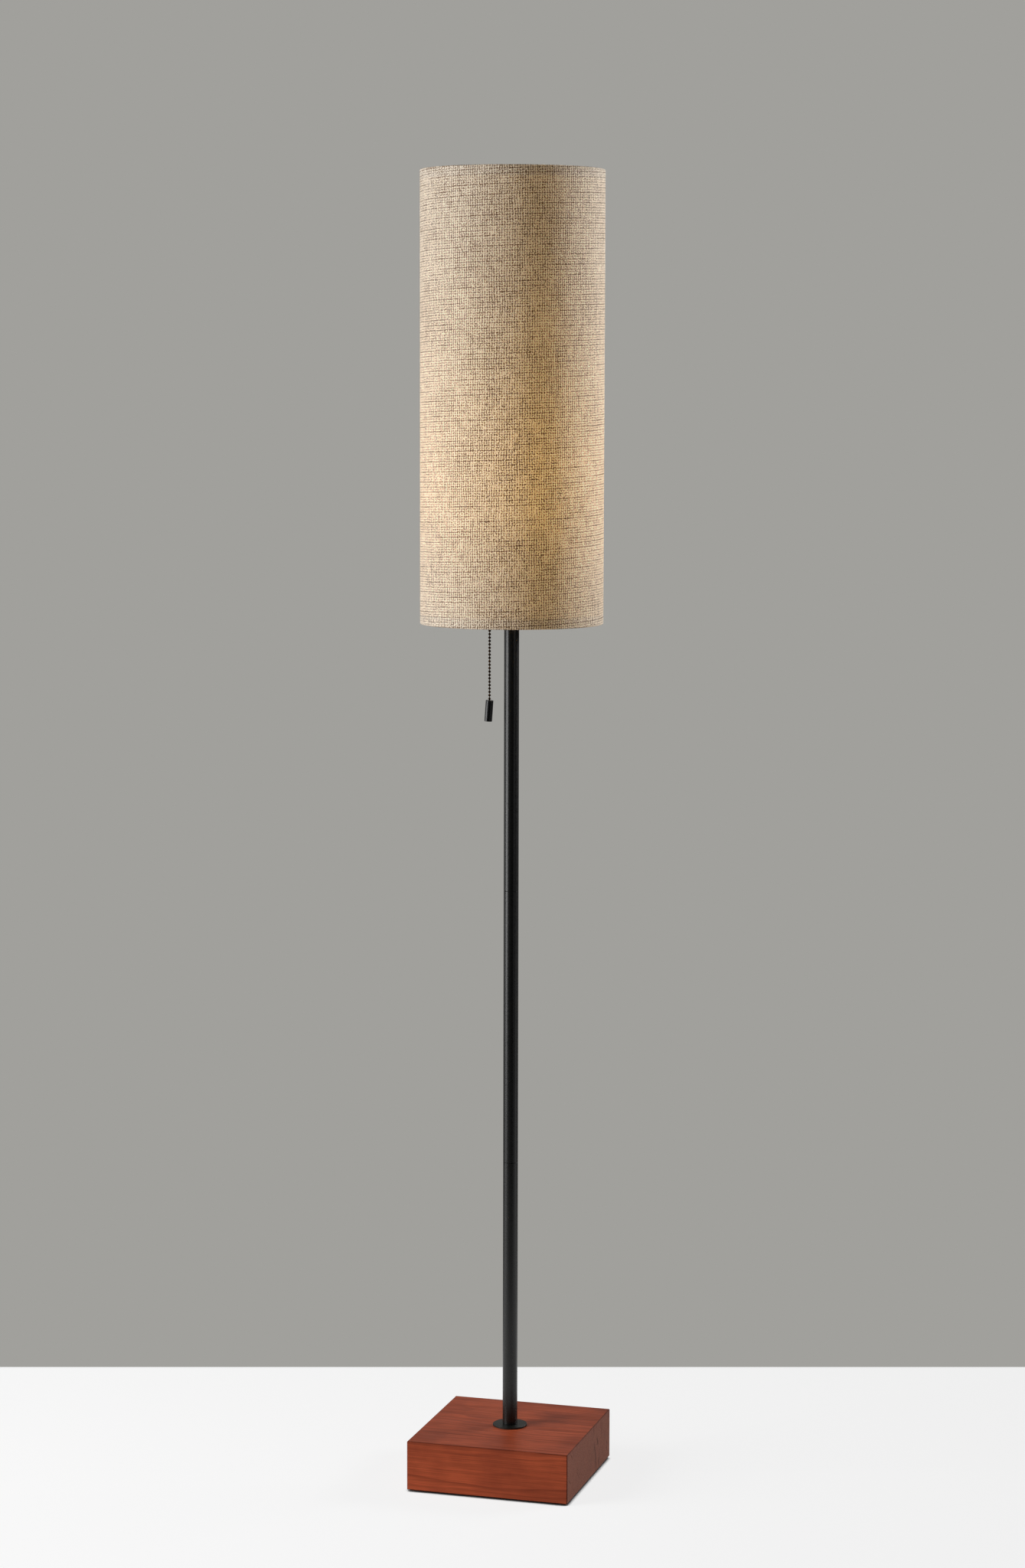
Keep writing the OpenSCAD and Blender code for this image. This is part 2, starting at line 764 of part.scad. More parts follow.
// Small washer in the top of the knob that keeps the bead in
module knob_cap() {
    color("#161615") translate([-chain_x, 0, knob_pivot_z]) rotate([0, knob_tilt, 0])
        translate([0, 0, knob_neck]) ring(knob_cap_r, knob_hole_r, knob_cap_t);
}

// ---- Shade ----

// One arm of the fitter: up from the lower ring, in at a slant and level into the hub
module fitter_arm() {
    bend = arm_bend_r;
    slant_x = ring_r - bend + bend * cos(arm_lean);
    slant_z = arm_leg_top + bend * sin(arm_lean);
    translate([ring_r, 0, shade_z + ring_lift]) cylinder(r = arm_r, h = arm_leg_top - shade_z - ring_lift);
    translate([ring_r - bend, 0, arm_leg_top]) rotate([90, 0, 0]) bent_rod(bend, arm_r, arm_lean);
    translate([slant_x, 0, slant_z]) rotate([0, -arm_lean, 0]) {
        cylinder(r = arm_r, h = arm_len);
        for (z = [0, arm_len]) translate([0, 0, z]) sphere(r = arm_r + arm_swell);
    }
    translate([arm_in_r, 0, arm_z - bend]) rotate([90, 0, 0]) rotate([0, 0, arm_lean])
        bent_rod(bend, arm_r, 90 - arm_lean);
    translate([hub_out_r - 2, 0, arm_z]) rotate([0, 90, 0])
        cylinder(r = arm_r, h = arm_in_r - hub_out_r + 2);
    translate([arm_in_r, 0, arm_z]) sphere(r = arm_r + arm_swell);
}

// Welded fitter: hub, three arms and the lower ring of the shade
module shade_fitter() {
    color("#2b2a28") union() {
        translate([0, 0, hub_z]) ring(hub_out_r, hub_in_r, hub_h);
        for (i = [0 : arm_count - 1]) rotate([0, 0, i * 360 / arm_count]) fitter_arm();
        translate([0, 0, shade_z + ring_lift]) bent_rod(ring_r, ring_wire_r, 360);
    }
}

// Ring nut on the thread of the socket shell, over the fitter's hub
module shade_ring_nut() {
    outer = shell_r + ring_nut_w;
    color("#1d1b19") translate([0, 0, ring_nut_z]) difference() {
        ring(outer, shell_r + thread_gap, ring_nut_h);
        for (i = [0 : ring_nut_grooves - 1]) rotate([0, 0, i * 360 / ring_nut_grooves])
            translate([outer + ring_nut_groove_r / 2, 0, -eps])
                cylinder(r = ring_nut_groove_r, h = ring_nut_h + 2 * eps);
    }
}

module shade_top_ring() {
    color("#2b2a28") translate([0, 0, shade_top - ring_lift]) bent_rod(ring_r, ring_wire_r, 360);
}

// Stiff translucent liner that the fabric is laminated to
module shade_liner() {
    color("#efe6d2") translate([0, 0, shade_z + fabric_t])
        ring(liner_r, liner_bore_r, shade_h - 2 * fabric_t);
}

// Fabric skin, turned over both rings and down inside
module shade_fabric() {
    color("#c9b894") translate([0, 0, shade_z]) rotate_extrude() polygon([
        [hem_in_r, 0], [shade_r, 0], [shade_r, shade_h], [hem_in_r, shade_h],
        [hem_in_r, shade_h - hem_h], [hem_out_r, shade_h - hem_h], [hem_out_r, shade_h - fabric_t],
        [liner_r, shade_h - fabric_t], [liner_r, fabric_t], [hem_out_r, fabric_t],
        [hem_out_r, hem_h], [hem_in_r, hem_h]
    ]);
}

// ---- Bulb ----

module bulb_contact() {
    bevel = 1;
    color("#9c9a94") translate([0, 0, bulb_z]) rotate_extrude() polygon([
        [0, 0], [bulb_contact_r - bevel, 0], [bulb_contact_r, bevel],
        [bulb_contact_r, bulb_contact_h], [0, bulb_contact_h]
    ]);
}

module bulb_insulator() {
    color("#141414") translate([0, 0, bulb_z + bulb_contact_h])
        cylinder(r1 = bulb_contact_r + 1, r2 = bulb_insulator_r, h = bulb_insulator_h);
}

// Pressed metal screw cap, with its foot bent in over the insulator
module bulb_cap() {
    foot = bulb_insulator_r - 1;
    color("#c5c1b6") translate([0, 0, bulb_cap_z]) rotate_extrude() polygon([
        [foot, 0], [bulb_insulator_r, 0], [bulb_cap_r, bulb_cap_shoulder], [bulb_cap_r, bulb_cap_h],
        [bulb_cap_r - bulb_cap_t, bulb_cap_h], [bulb_cap_r - bulb_cap_t, bulb_cap_shoulder],
        [bulb_insulator_r - bulb_cap_t, bulb_cap_t], [foot, bulb_cap_t]
    ]);
}

// Half outline of the bulb's glass, drawn in by an inset
module glass_outline(inset) {
    r = globe_r - inset;
    low = [neck_r - inset, neck_z];
    to_low = low - [0, globe_z];
    tangent = atan2(to_low.y, to_low.x) + acos(r / norm(to_low));
    difference() {
        union() {
            translate([0, globe_z]) circle(r = r);
            polygon([[0, low.y], low, [r * cos(tangent), globe_z + r * sin(tangent)], [0, globe_z]]);
            translate([0, bulb_cap_top - neck_depth + inset])
                square([neck_r - inset, neck_z - bulb_cap_top + neck_depth - inset]);
        }
        translate([-2 * globe_r, bulb_z]) square([2 * globe_r, globe_rise + 2 * globe_r]);
    }
}

// Hollow glass envelope: a globe on a tapering neck that sits in the cap
module bulb_glass() {
    color("#f4efe2") rotate_extrude() difference() {
        glass_outline(0);
        glass_outline(glass_t);
    }
}

// ---- Inner lead ----

// One insulated wire, from the pocket in the base up to its terminal
module lead_wire(run) {
    translate([lead_x, 0, base_nipple_z]) cylinder(r = lead_r, h = lead_top_z - base_nipple_z);
    translate([lead_x, lead_bend_r, base_nipple_z]) rotate([90, 0, 90]) rotate([0, 0, 180])
        bent_rod(lead_bend_r, lead_r, 90);
    translate([lead_x, lead_bend_r, lead_run_z]) rotate([-90, 0, 0])
        cylinder(r = lead_r, h = run - lead_bend_r);
    translate([lead_x + lead_top_bend_r, 0, lead_top_z]) rotate([90, 0, 0]) rotate([0, 0, 90])
        bent_rod(lead_top_bend_r, lead_r, 90);
    translate([lead_x + lead_top_bend_r, 0, lead_top_z + lead_top_bend_r]) rotate([0, 90, 0])
        cylinder(r = lead_r, h = tab_x - lead_x - lead_top_bend_r);
}

module inner_lead() {
    color("#2c2a27") for (side = [0, 1]) mirror([side, 0, 0]) lead_wire(lead_runs[side]);
}

// Closed caps crimped on the lower ends of the wires
module splice_caps() {
    color("#d8d2c2") for (side = [0, 1]) mirror([side, 0, 0])
        translate([lead_x, lead_runs[side] - splice_grip, lead_run_z]) rotate([-90, 0, 0]) difference() {
            cylinder(r = splice_r, h = splice_len);
            translate([0, 0, -eps]) cylinder(r = lead_r + run_gap, h = splice_grip + eps);
        }
}

feet();
base_cover();
cover_screws();
base_weight();
base_block();
cord_bushing();
base_flange();
base_nipple();
base_washer();
base_lock_washer();
base_nut();
pole_lower();
pole_middle();
pole_upper();
tube_inserts();
seam_nipples();
pole_cap();
socket_nipple();
socket_lock_nut();
socket_cap();
terminal_tabs();
terminal_screws();
switch_body();
switch_contacts();
drum_pin();
switch_drum();
chain_guide();
chain_lead();
chain_pivot_bead();
chain_upper();
chain_lower();
chain_knob();
knob_cap();
socket_shell();
socket_insulator();
screw_shell();
centre_contact();
shade_fitter();
shade_ring_nut();
shade_top_ring();
shade_liner();
shade_fabric();
bulb_contact();
bulb_insulator();
bulb_cap();
bulb_glass();
inner_lead();
splice_caps();
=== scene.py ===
"""Column floor lamp: looks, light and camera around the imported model.

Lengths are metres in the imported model's frame, unless a name ends in _mm: +Z up, the front of the
block towards -Y, the chain on the -X side and the origin on the floor under the pole.
"""

import logging
import math
from collections.abc import Callable
from dataclasses import dataclass
from enum import Enum

import bpy
from bpy.types import Material, Mesh, NodeSocket, NodeTree, Object, World
from mathutils import Matrix, Vector


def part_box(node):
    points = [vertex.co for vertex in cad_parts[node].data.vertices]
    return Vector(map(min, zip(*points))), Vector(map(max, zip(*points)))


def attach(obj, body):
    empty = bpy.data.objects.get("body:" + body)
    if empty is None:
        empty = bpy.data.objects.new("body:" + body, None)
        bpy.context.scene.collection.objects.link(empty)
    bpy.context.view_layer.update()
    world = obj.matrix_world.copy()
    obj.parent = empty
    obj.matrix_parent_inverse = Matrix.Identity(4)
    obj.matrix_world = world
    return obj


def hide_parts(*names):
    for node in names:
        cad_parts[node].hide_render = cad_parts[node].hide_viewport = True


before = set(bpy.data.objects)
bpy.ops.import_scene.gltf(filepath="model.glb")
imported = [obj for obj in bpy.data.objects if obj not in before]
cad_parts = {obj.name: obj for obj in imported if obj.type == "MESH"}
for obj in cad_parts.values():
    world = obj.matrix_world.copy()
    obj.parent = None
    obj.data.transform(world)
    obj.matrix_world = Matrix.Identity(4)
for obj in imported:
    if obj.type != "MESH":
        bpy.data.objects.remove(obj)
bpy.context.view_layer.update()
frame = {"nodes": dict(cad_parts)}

LOG = logging.getLogger("floor_lamp")
MM = 0.001
SHARP_DEG = 40  # Edges of a spun mesh that turn by more than this stay sharp.

Point = tuple[float, float]

# Numbers of the colour sockets of a Mix node, whose names it uses more than once.
MIX_A, MIX_B, MIX_OUT = 6, 7, 2
# Detail of a noise texture.
SMOOTH, SOFT, FINE = 1.0, 2.0, 3.0
# Part of its range that a noise mostly keeps to, and the same for two noises multiplied.
NOISE_LOW, NOISE_HIGH = 0.3, 0.7
PRODUCT_LOW, PRODUCT_HIGH = 0.12, 0.42


# ---- Nodes and meshes ----


def linear(code: str) -> tuple[float, float, float, float]:
    """Turn an sRGB hex code into a linear colour.

    Args:
        code: Colour such as "#8a4c39".

    Returns:
        Linear red, green, blue and alpha.
    """
    channels = (int(code[i : i + 2], 16) / 255 for i in (1, 3, 5))
    return (*(c / 12.92 if c <= 0.04045 else ((c + 0.055) / 1.055) ** 2.4 for c in channels), 1.0)


def add(
    tree: NodeTree, kind: str, inputs: dict, out: int | str = 0, **settings: object
) -> NodeSocket | None:
    """Add a node with its settings and links.

    Args:
        tree: Node tree that takes the node.
        kind: Type of the node, without the leading ShaderNode, and its operation after a space.
        inputs: Value or output socket for each input, by the input's name or number.
        out: Name or number of the output to hand back.
        **settings: Properties of the node.

    Returns:
        The chosen output socket, or None for a node that has none.
    """
    kind, _, operation = kind.partition(" ")
    node = tree.nodes.new("ShaderNode" + kind)
    if operation:
        node.operation = operation
    for name, value in settings.items():
        setattr(node, name, value)
    for key, value in inputs.items():
        if isinstance(value, NodeSocket):
            tree.links.new(value, node.inputs[key])
        else:
            node.inputs[key].default_value = value
    return node.outputs[out] if node.outputs else None


def bare_tree(owner: Material | World) -> NodeTree:
    """Empty the node tree of a material or world.

    Args:
        owner: The material or world.

    Returns:
        Its node tree.
    """
    owner.use_nodes = True
    owner.node_tree.nodes.clear()
    return owner.node_tree


def spun_mesh(
    name: str,
    angles: list[float],
    outline_at: Callable[[float], list[Point]],
    uv_at: Callable[[int, int], Point] | None = None,
    uv_name: str = "",
) -> Mesh:
    """Spin a closed outline round the Z axis.

    Args:
        name: Name of the mesh.
        angles: Angle of each column, in radians, once round.
        outline_at: Outline at an angle, as (radius, height) points, the same number each time.
        uv_at: Texture place of a column and a point of the outline, each counted past its end.
        uv_name: Name of the texture layer.

    Returns:
        The mesh, smooth with its corners sharp.
    """
    rows = len(outline_at(angles[0]))
    verts = []
    for angle in angles:
        spoke = (math.cos(angle), math.sin(angle))
        verts += [(r * spoke[0], r * spoke[1], z) for r, z in outline_at(angle)]
    faces, places = [], []
    for col in range(len(angles)):
        for row in range(rows):
            corners = ((col, row), (col + 1, row), (col + 1, row + 1), (col, row + 1))
            faces.append([(c % len(angles)) * rows + r % rows for c, r in corners])
            places += corners
    mesh = bpy.data.meshes.new(name)
    mesh.from_pydata(verts, [], faces)
    if uv_at:
        layer = mesh.uv_layers.new(name=uv_name)
        for loop, (col, row) in zip(layer.data, places):
            loop.uv = uv_at(col, row)
    mesh.validate()
    mesh.shade_smooth()
    mesh.set_sharp_from_angle(angle=math.radians(SHARP_DEG))
    return mesh


def turns(count: int) -> list[float]:
    """Give the angles of a full turn in equal steps."""
    return [2 * math.pi * i / count for i in range(count)]


def arc(centre: Point, radius: float, start_deg: float, end_deg: float, steps: int) -> list[Point]:
    """Give points on an arc.

    Args:
        centre: Centre of the arc.
        radius: Radius of the arc.
        start_deg: Angle of the first point.
        end_deg: Angle of the last point.
        steps: Number of spans.

    Returns:
        The points, both ends included.
    """
    angles = (math.radians(start_deg + (end_deg - start_deg) * i / steps) for i in range(steps + 1))
    return [(centre[0] + radius * math.cos(a), centre[1] + radius * math.sin(a)) for a in angles]


@dataclass(frozen=True)
class RolledThread:
    """Right-handed screw thread, rolled into thin strip, that the bulb and its shell share."""

    pitch_mm: float = 25.4 / 7
    depth_mm: float = 0.7
    steps: int = 12
    ease_mm: float = 1.4
    columns: int = 96

    def wall(self, angle: float, middle_mm: float, low_mm: float, high_mm: float) -> list[Point]:
        """Give the wavy line of a threaded wall, upwards.

        Args:
            angle: Angle round the axis.
            middle_mm: Radius halfway between crest and root.
            low_mm: Height at which the thread starts.
            high_mm: Height at which it ends.

        Returns:
            The points, which run out flat at both ends.
        """
        count = round((high_mm - low_mm) / self.pitch_mm * self.steps)
        points = []
        for i in range(count + 1):
            height = low_mm + (high_mm - low_mm) * i / count
            ease = min((height - low_mm) / self.ease_mm, (high_mm - height) / self.ease_mm, 1.0)
            wave = math.cos(2 * math.pi * height / self.pitch_mm - angle)
            radius = middle_mm + self.depth_mm / 2 * wave * ease * ease * (3 - 2 * ease)
            points.append((radius * MM, height * MM))
        return points


THREAD = RolledThread()


# ---- Finishes ----


class Grain(Enum):
    """Way that the fine marks of a surface run, as the share of change along X, Y and Z."""

    EVEN = (1.0, 1.0, 1.0)
    ROUND = (0.04, 0.04, 1.0)
    UPRIGHT = (1.0, 1.0, 0.04)


@dataclass(frozen=True)
class Finish:
    """A plain surface with fine marks, a mark_mm wide, and slow changes of tone, a patch_mm wide.

    The marks change colour, gloss and relief together, and the slow changes only the colour.
    """

    name: str
    slot: str
    colour: str
    patch_colour: str
    roughness: tuple[float, float]
    mark_mm: float
    relief_mm: float = 0.0
    patch_mm: float = 35.0
    grain: Grain = Grain.EVEN
    metallic: float = 0.0
    ior: float = 1.5

    def material(self) -> Material:
        """Give the material, made at its first use."""
        found = bpy.data.materials.get(self.name)
        return found or self._build()

    def _build(self) -> Material:
        """Make the material and its pattern."""
        material = bpy.data.materials.new(self.name)
        tree = bare_tree(material)
        add(tree, "OutputMaterial", {"Surface": self.surface(tree)})
        return material

    def place_mm(self, tree: NodeTree) -> NodeSocket:
        """Give the place on the object in millimetres."""
        place = add(tree, "TexCoord", {}, "Object")
        return add(tree, "VectorMath SCALE", {0: place, "Scale": 1 / MM})

    def surface(self, tree: NodeTree) -> NodeSocket:
        """Build the shader.

        Args:
            tree: Node tree of the material.

        Returns:
            The shader's output.
        """
        place = self.place_mm(tree)
        run = add(tree, "VectorMath MULTIPLY", {0: place, 1: self.grain.value})
        marks = add(tree, "TexNoise", {"Vector": run, "Scale": 1 / self.mark_mm, "Detail": FINE})
        patches = add(
            tree, "TexNoise", {"Vector": place, "Scale": 1 / self.patch_mm, "Detail": SOFT}
        )
        both = add(tree, "Math MULTIPLY", {0: marks, 1: patches})
        share = add(tree, "MapRange", {0: both, 1: PRODUCT_LOW, 2: PRODUCT_HIGH})
        colours = {MIX_A: linear(self.colour), MIX_B: linear(self.patch_colour)}
        colour = add(tree, "Mix", {0: share, **colours}, MIX_OUT, data_type="RGBA")
        low, high = self.roughness
        rough = add(tree, "MapRange", {0: marks, 1: NOISE_LOW, 2: NOISE_HIGH, 3: low, 4: high})
        inputs = {"Base Color": colour, "Roughness": rough, "Metallic": self.metallic}
        if not self.metallic:
            inputs["IOR"] = self.ior
        if self.relief_mm:
            inputs["Normal"] = add(
                tree, "Bump", {"Height": marks, "Distance": self.relief_mm * MM, "Strength": 0.7}
            )
        return add(tree, "BsdfPrincipled", inputs)


# Black gloss enamel sprayed on steel tube: nearly black, a blurred mirror with faint orange peel.
POLE_ENAMEL = Finish(
    "gloss_enamel_sprayed", "black_paint", "#131312", "#181816", (0.26, 0.34), 2.2, 0.003, ior=1.45
)
# Satin black enamel on the turned flange and the welded fitter: greyer, the light spread wide.
SATIN_ENAMEL = Finish(
    "satin_enamel_sprayed", "black_paint", "#12130f", "#1c1e19", (0.38, 0.5), 1.2, 0.01
)
# Painted steel sheet under the block: dull brown black with roller marks.
COVER_PAINT = Finish(
    "sheet_steel_painted", "cover_paint", "#1d1b19", "#2b2825", (0.5, 0.62), 0.8, 0.01
)
# Sand-cast iron: dark grey, grainy and dull, as it left the mould.
CAST_IRON = Finish(
    "iron_sand_cast", "cast_iron", "#2e2d2c", "#4a4745", (0.6, 0.8), 1.1, 0.12, metallic=0.6
)
# Pressed wool felt: matt, almost black, fibres that blur every edge of light.
FELT = Finish("wool_felt_pressed", "felt", "#171615", "#2a2826", (0.95, 1.0), 0.5, 0.08, ior=1.35)
# Moulded nylon: black with an even soft gloss.
NYLON = Finish(
    "nylon_moulded", "black_nylon", "#131312", "#1b1a19", (0.42, 0.5), 0.6, 0.006, ior=1.53
)
# Turned and zinc-plated steel: bright blue-grey with fine lines round the axis.
ZINC_STEEL = Finish(
    "steel_zinc_plated", "zinc_steel", "#8f9092", "#bcbcba", (0.28, 0.42), 0.5, 0.01, 9.0,
    Grain.ROUND, 1.0,
)
# Compression-moulded phenolic: brown black, deep gloss with a faint flow pattern.
PHENOLIC = Finish(
    "phenolic_moulded", "black_phenolic", "#15120f", "#1e1914", (0.24, 0.34), 1.4, 0.006, 14.0,
    ior=1.6,
)
# Rolled brass strip: warm yellow, lightly tarnished in patches.
BRASS = Finish(
    "brass_rolled", "brass", "#a8803a", "#7d5f30", (0.26, 0.42), 0.7, 0.006, 6.0, Grain.ROUND, 1.0
)
# Brass beads blackened in a bath: brown black metal, brighter where fingers rub.
BLACK_BRASS = Finish(
    "brass_blackened", "black_chain", "#1e1916", "#44362a", (0.3, 0.42), 0.4, 0.004, 5.0,
    metallic=1.0,
)
# Turned knob in black lacquer: sharp-edged, with a satin stripe of light down one side.
KNOB_LACQUER = Finish(
    "knob_lacquered", "knob_black", "#0a0a0a", "#131312", (0.26, 0.36), 0.5, 0.003, 8.0,
    Grain.UPRIGHT,
)
# Vulcanised fibre board: pale grey buff and matt, with fine paper fibres.
FIBRE = Finish("fibre_vulcanised", "vulcanised_fibre", "#cfc8b8", "#b8ae99", (0.6, 0.75), 0.6, 0.02)
# Styrene sheet behind the fabric: smooth cream, evenly pale, so that it spreads the bulb's light.
LINER = Finish("styrene_extruded", "liner", "#efe8d8", "#e6dcc6", (0.45, 0.55), 1.6, 0.004, 60.0)
# Bakelised glass under the bulb's cap: opaque black, fire-polished.
BLACK_GLASS = Finish(
    "glass_black_pressed", "bulb_insulator", "#0d0d0e", "#17171a", (0.1, 0.2), 1.5, ior=1.52
)
# Nickel-plated steel strip, rolled into the bulb's thread: pale, warm and bright.
NICKEL = Finish(
    "nickel_plated", "nickel", "#b9b4a8", "#d6d2c6", (0.22, 0.36), 0.5, 0.006, 7.0, Grain.ROUND, 1.0
)
# Tin solder, dropped on and set: dull silver with a slightly lumpy skin.
SOLDER = Finish(
    "solder_set", "solder", "#8d8c88", "#b5b4b0", (0.34, 0.5), 1.4, 0.05, 4.0, metallic=1.0
)
# Extruded wire insulation: dark and softly glossy along the run.
WIRE_PVC = Finish(
    "wire_pvc_extruded", "wire_insulation", "#1d1b19", "#2c2a27", (0.38, 0.46), 0.8, 0.004
)
# Natural nylon splice caps: milky, with a waxy gloss.
WHITE_NYLON = Finish(
    "nylon_natural", "splice_nylon", "#d8d2c2", "#e6e1d4", (0.4, 0.5), 0.8, 0.004, ior=1.53
)


@dataclass(frozen=True)
class StainedWood(Finish):
    """Solid wood with its grain along X, stained red brown and varnished satin.

    Growth rings are cut lengthwise on the top and the front, where they make long wavering lines,
    and across on the two ends, which are duller, with arcs and fine splits. The ends are paler and
    greyer than the front: partly the end grain's own tone and partly a painted sheen. Each run is
    the share of change along X, Y and Z.
    """

    ring_colour: str = "#6d2a17"
    pore_colour: str = "#4a1d10"
    # End colour: partly the end grain's own tone, partly a painted sheen that makes the ends paler
    # and greyer.
    end_colour: str = "#b57c68"
    ring_mm: float = 5.2
    ring_range: tuple[float, float] = (0.15, 1.0)
    sway_mm: float = 22.0
    sway_length_mm: float = 55.0
    line_slimness: float = 0.02
    cloud_run: tuple[float, float, float] = (0.8, 1.0, 1.0)
    sway_run: tuple[float, float, float] = (0.3, 1.0, 1.0)
    across: tuple[float, float, float] = (0.0, 1.0, 1.0)
    split_length_mm: float = 17.0
    splits_round: float = 9.0
    edge_mm: float = 1.3
    end_roughness: float = 0.25
    specular: float = 0.24
    pith_mm: tuple[float, float, float] = (0.0, 62.0, -95.0)
    middle_mm: tuple[float, float, float] = (0.0, 0.0, 32.0)
    half_mm: tuple[float, float, float] = (100.0, 100.0, 30.0)

    def surface(self, tree: NodeTree) -> NodeSocket:
        """Build the shader from rings, lines of pores and clouds of stain.

        Args:
            tree: Node tree of the material.

        Returns:
            The shader's output.
        """
        place = self.place_mm(tree)
        spoke = self._spoke(tree, place)
        rings = self._rings(tree, spoke)
        thin = 1 / self.mark_mm
        run = (self.line_slimness * thin, thin, thin)
        line_place = add(tree, "VectorMath MULTIPLY", {0: place, 1: run})
        lines = add(tree, "TexNoise", {"Vector": line_place, "Scale": 1.0, "Detail": FINE})
        pores = add(tree, "MapRange", {0: lines, 1: 0.42, 2: 0.68})
        cloud_place = add(tree, "VectorMath MULTIPLY", {0: place, 1: self.cloud_run})
        clouds = {"Vector": cloud_place, "Scale": 1 / self.patch_mm, "Detail": FINE}
        clouds = add(tree, "TexNoise", clouds)
        clouds = add(tree, "MapRange", {0: clouds, 1: 0.36, 2: 0.68})
        end = self._end(tree)
        splits = self._splits(tree, spoke, end)
        edges = self._edges(tree, place)

        # Each layer of colour: where it lies, how much it covers there, and its colour.
        colour = linear(self.colour)
        for share, most, code in (
            (clouds, 1.0, self.patch_colour),
            (rings, 0.42, self.ring_colour),
            (end, 0.8, self.end_colour),
            (pores, 0.3, self.pore_colour),
            (splits, 0.8, self.pore_colour),
            (edges, 0.6, self.pore_colour),
        ):
            share = add(tree, "Math MULTIPLY", {0: share, 1: most})
            layers = {0: share, MIX_A: colour, MIX_B: linear(code)}
            colour = add(tree, "Mix", layers, MIX_OUT, data_type="RGBA")
        low, high = self.roughness
        rough = add(tree, "MapRange", {0: lines, 1: 0.35, 2: 0.7, 3: low, 4: high})
        rough = add(tree, "Math MULTIPLY_ADD", {0: end, 1: self.end_roughness, 2: rough})
        relief = pores
        for dip, depth in ((rings, 0.4), (splits, 3.0)):
            relief = add(tree, "Math MULTIPLY_ADD", {0: dip, 1: depth, 2: relief})
        dips = {"Height": relief, "Distance": self.relief_mm * MM, "Strength": 0.6}
        inputs = {
            "Base Color": colour,
            "Roughness": rough,
            "Normal": add(tree, "Bump", dips, invert=True),
            "IOR": self.ior,
            "Specular IOR Level": self.specular,
        }
        return add(tree, "BsdfPrincipled", inputs)

    def _spoke(self, tree: NodeTree, place: NodeSocket) -> NodeSocket:
        """Give the way from the tree's wavering middle to a place, square to the grain.

        Args:
            tree: Node tree of the material.
            place: Place on the block, in millimetres.

        Returns:
            The way, in millimetres.
        """
        long_place = add(tree, "VectorMath MULTIPLY", {0: place, 1: self.sway_run})
        sway = {"Vector": long_place, "Scale": 1 / self.sway_length_mm, "Detail": SOFT}
        sway = add(tree, "TexNoise", sway, "Color")
        sway = add(tree, "VectorMath SUBTRACT", {0: sway, 1: (0.5, 0.5, 0.5)})
        sway = add(tree, "VectorMath SCALE", {0: sway, "Scale": self.sway_mm})
        bent = add(tree, "VectorMath ADD", {0: place, 1: sway})
        spoke = add(tree, "VectorMath SUBTRACT", {0: bent, 1: self.pith_mm})
        return add(tree, "VectorMath MULTIPLY", {0: spoke, 1: self.across})

    def _rings(self, tree: NodeTree, spoke: NodeSocket) -> NodeSocket:
        """Give the growth rings, 0 in early wood and up to 1 in late wood, which ends sharply.

        Args:
            tree: Node tree of the material.
            spoke: Way from the tree's middle.

        Returns:
            Share of late wood, less in the fainter years.
        """
        radius = add(tree, "VectorMath LENGTH", {0: spoke}, "Value")
        years = add(tree, "Math MULTIPLY", {0: radius, 1: 1 / self.ring_mm})
        season = add(tree, "Math FRACT", {0: years})
        rise, fall = {0: season, 1: 0.1, 2: 0.88}, {0: season, 1: 1.0, 2: 0.9}
        rise = add(tree, "MapRange", rise, interpolation_type="SMOOTHSTEP")
        fall = add(tree, "MapRange", fall, interpolation_type="SMOOTHSTEP")
        late = add(tree, "Math MULTIPLY", {0: rise, 1: fall})
        year = add(tree, "Math FLOOR", {0: years})
        strength = add(tree, "TexWhiteNoise", {"W": year}, "Value", noise_dimensions="1D")
        least, most = self.ring_range
        strength = add(tree, "MapRange", {0: strength, 3: least, 4: most})
        return add(tree, "Math MULTIPLY", {0: late, 1: strength})

    def _end(self, tree: NodeTree) -> NodeSocket:
        """Give 1 on the two end faces, where the grain is cut across.

        Args:
            tree: Node tree of the material.

        Returns:
            Share of end grain.
        """
        facing = add(tree, "TexCoord", {}, "Normal")
        facing = add(tree, "SeparateXYZ", {0: facing}, "X")
        facing = add(tree, "Math ABSOLUTE", {0: facing})
        return add(tree, "MapRange", {0: facing, 1: 0.6, 2: 0.9})

    def _splits(self, tree: NodeTree, spoke: NodeSocket, end: NodeSocket) -> NodeSocket:
        """Give the few hairline splits that run out along the rays of an end face.

        Args:
            tree: Node tree of the material.
            spoke: Way from the tree's middle.
            end: Share of end grain.

        Returns:
            1 in a split.
        """
        way = add(tree, "VectorMath NORMALIZE", {0: spoke}, "Vector")
        rays = add(tree, "TexNoise", {"Vector": way, "Scale": self.splits_round, "Detail": SMOOTH})
        off = add(tree, "Math SUBTRACT", {0: rays, 1: 0.5})
        off = add(tree, "Math ABSOLUTE", {0: off})
        hair = add(tree, "MapRange", {0: off, 1: 0.011, 2: 0.003})
        part = {"Vector": spoke, "Scale": 1 / self.split_length_mm, "Detail": SMOOTH}
        part = add(tree, "TexNoise", part)
        part = add(tree, "MapRange", {0: part, 1: 0.47, 2: 0.56})
        hair = add(tree, "Math MULTIPLY", {0: hair, 1: part})
        return add(tree, "Math MULTIPLY", {0: hair, 1: end})

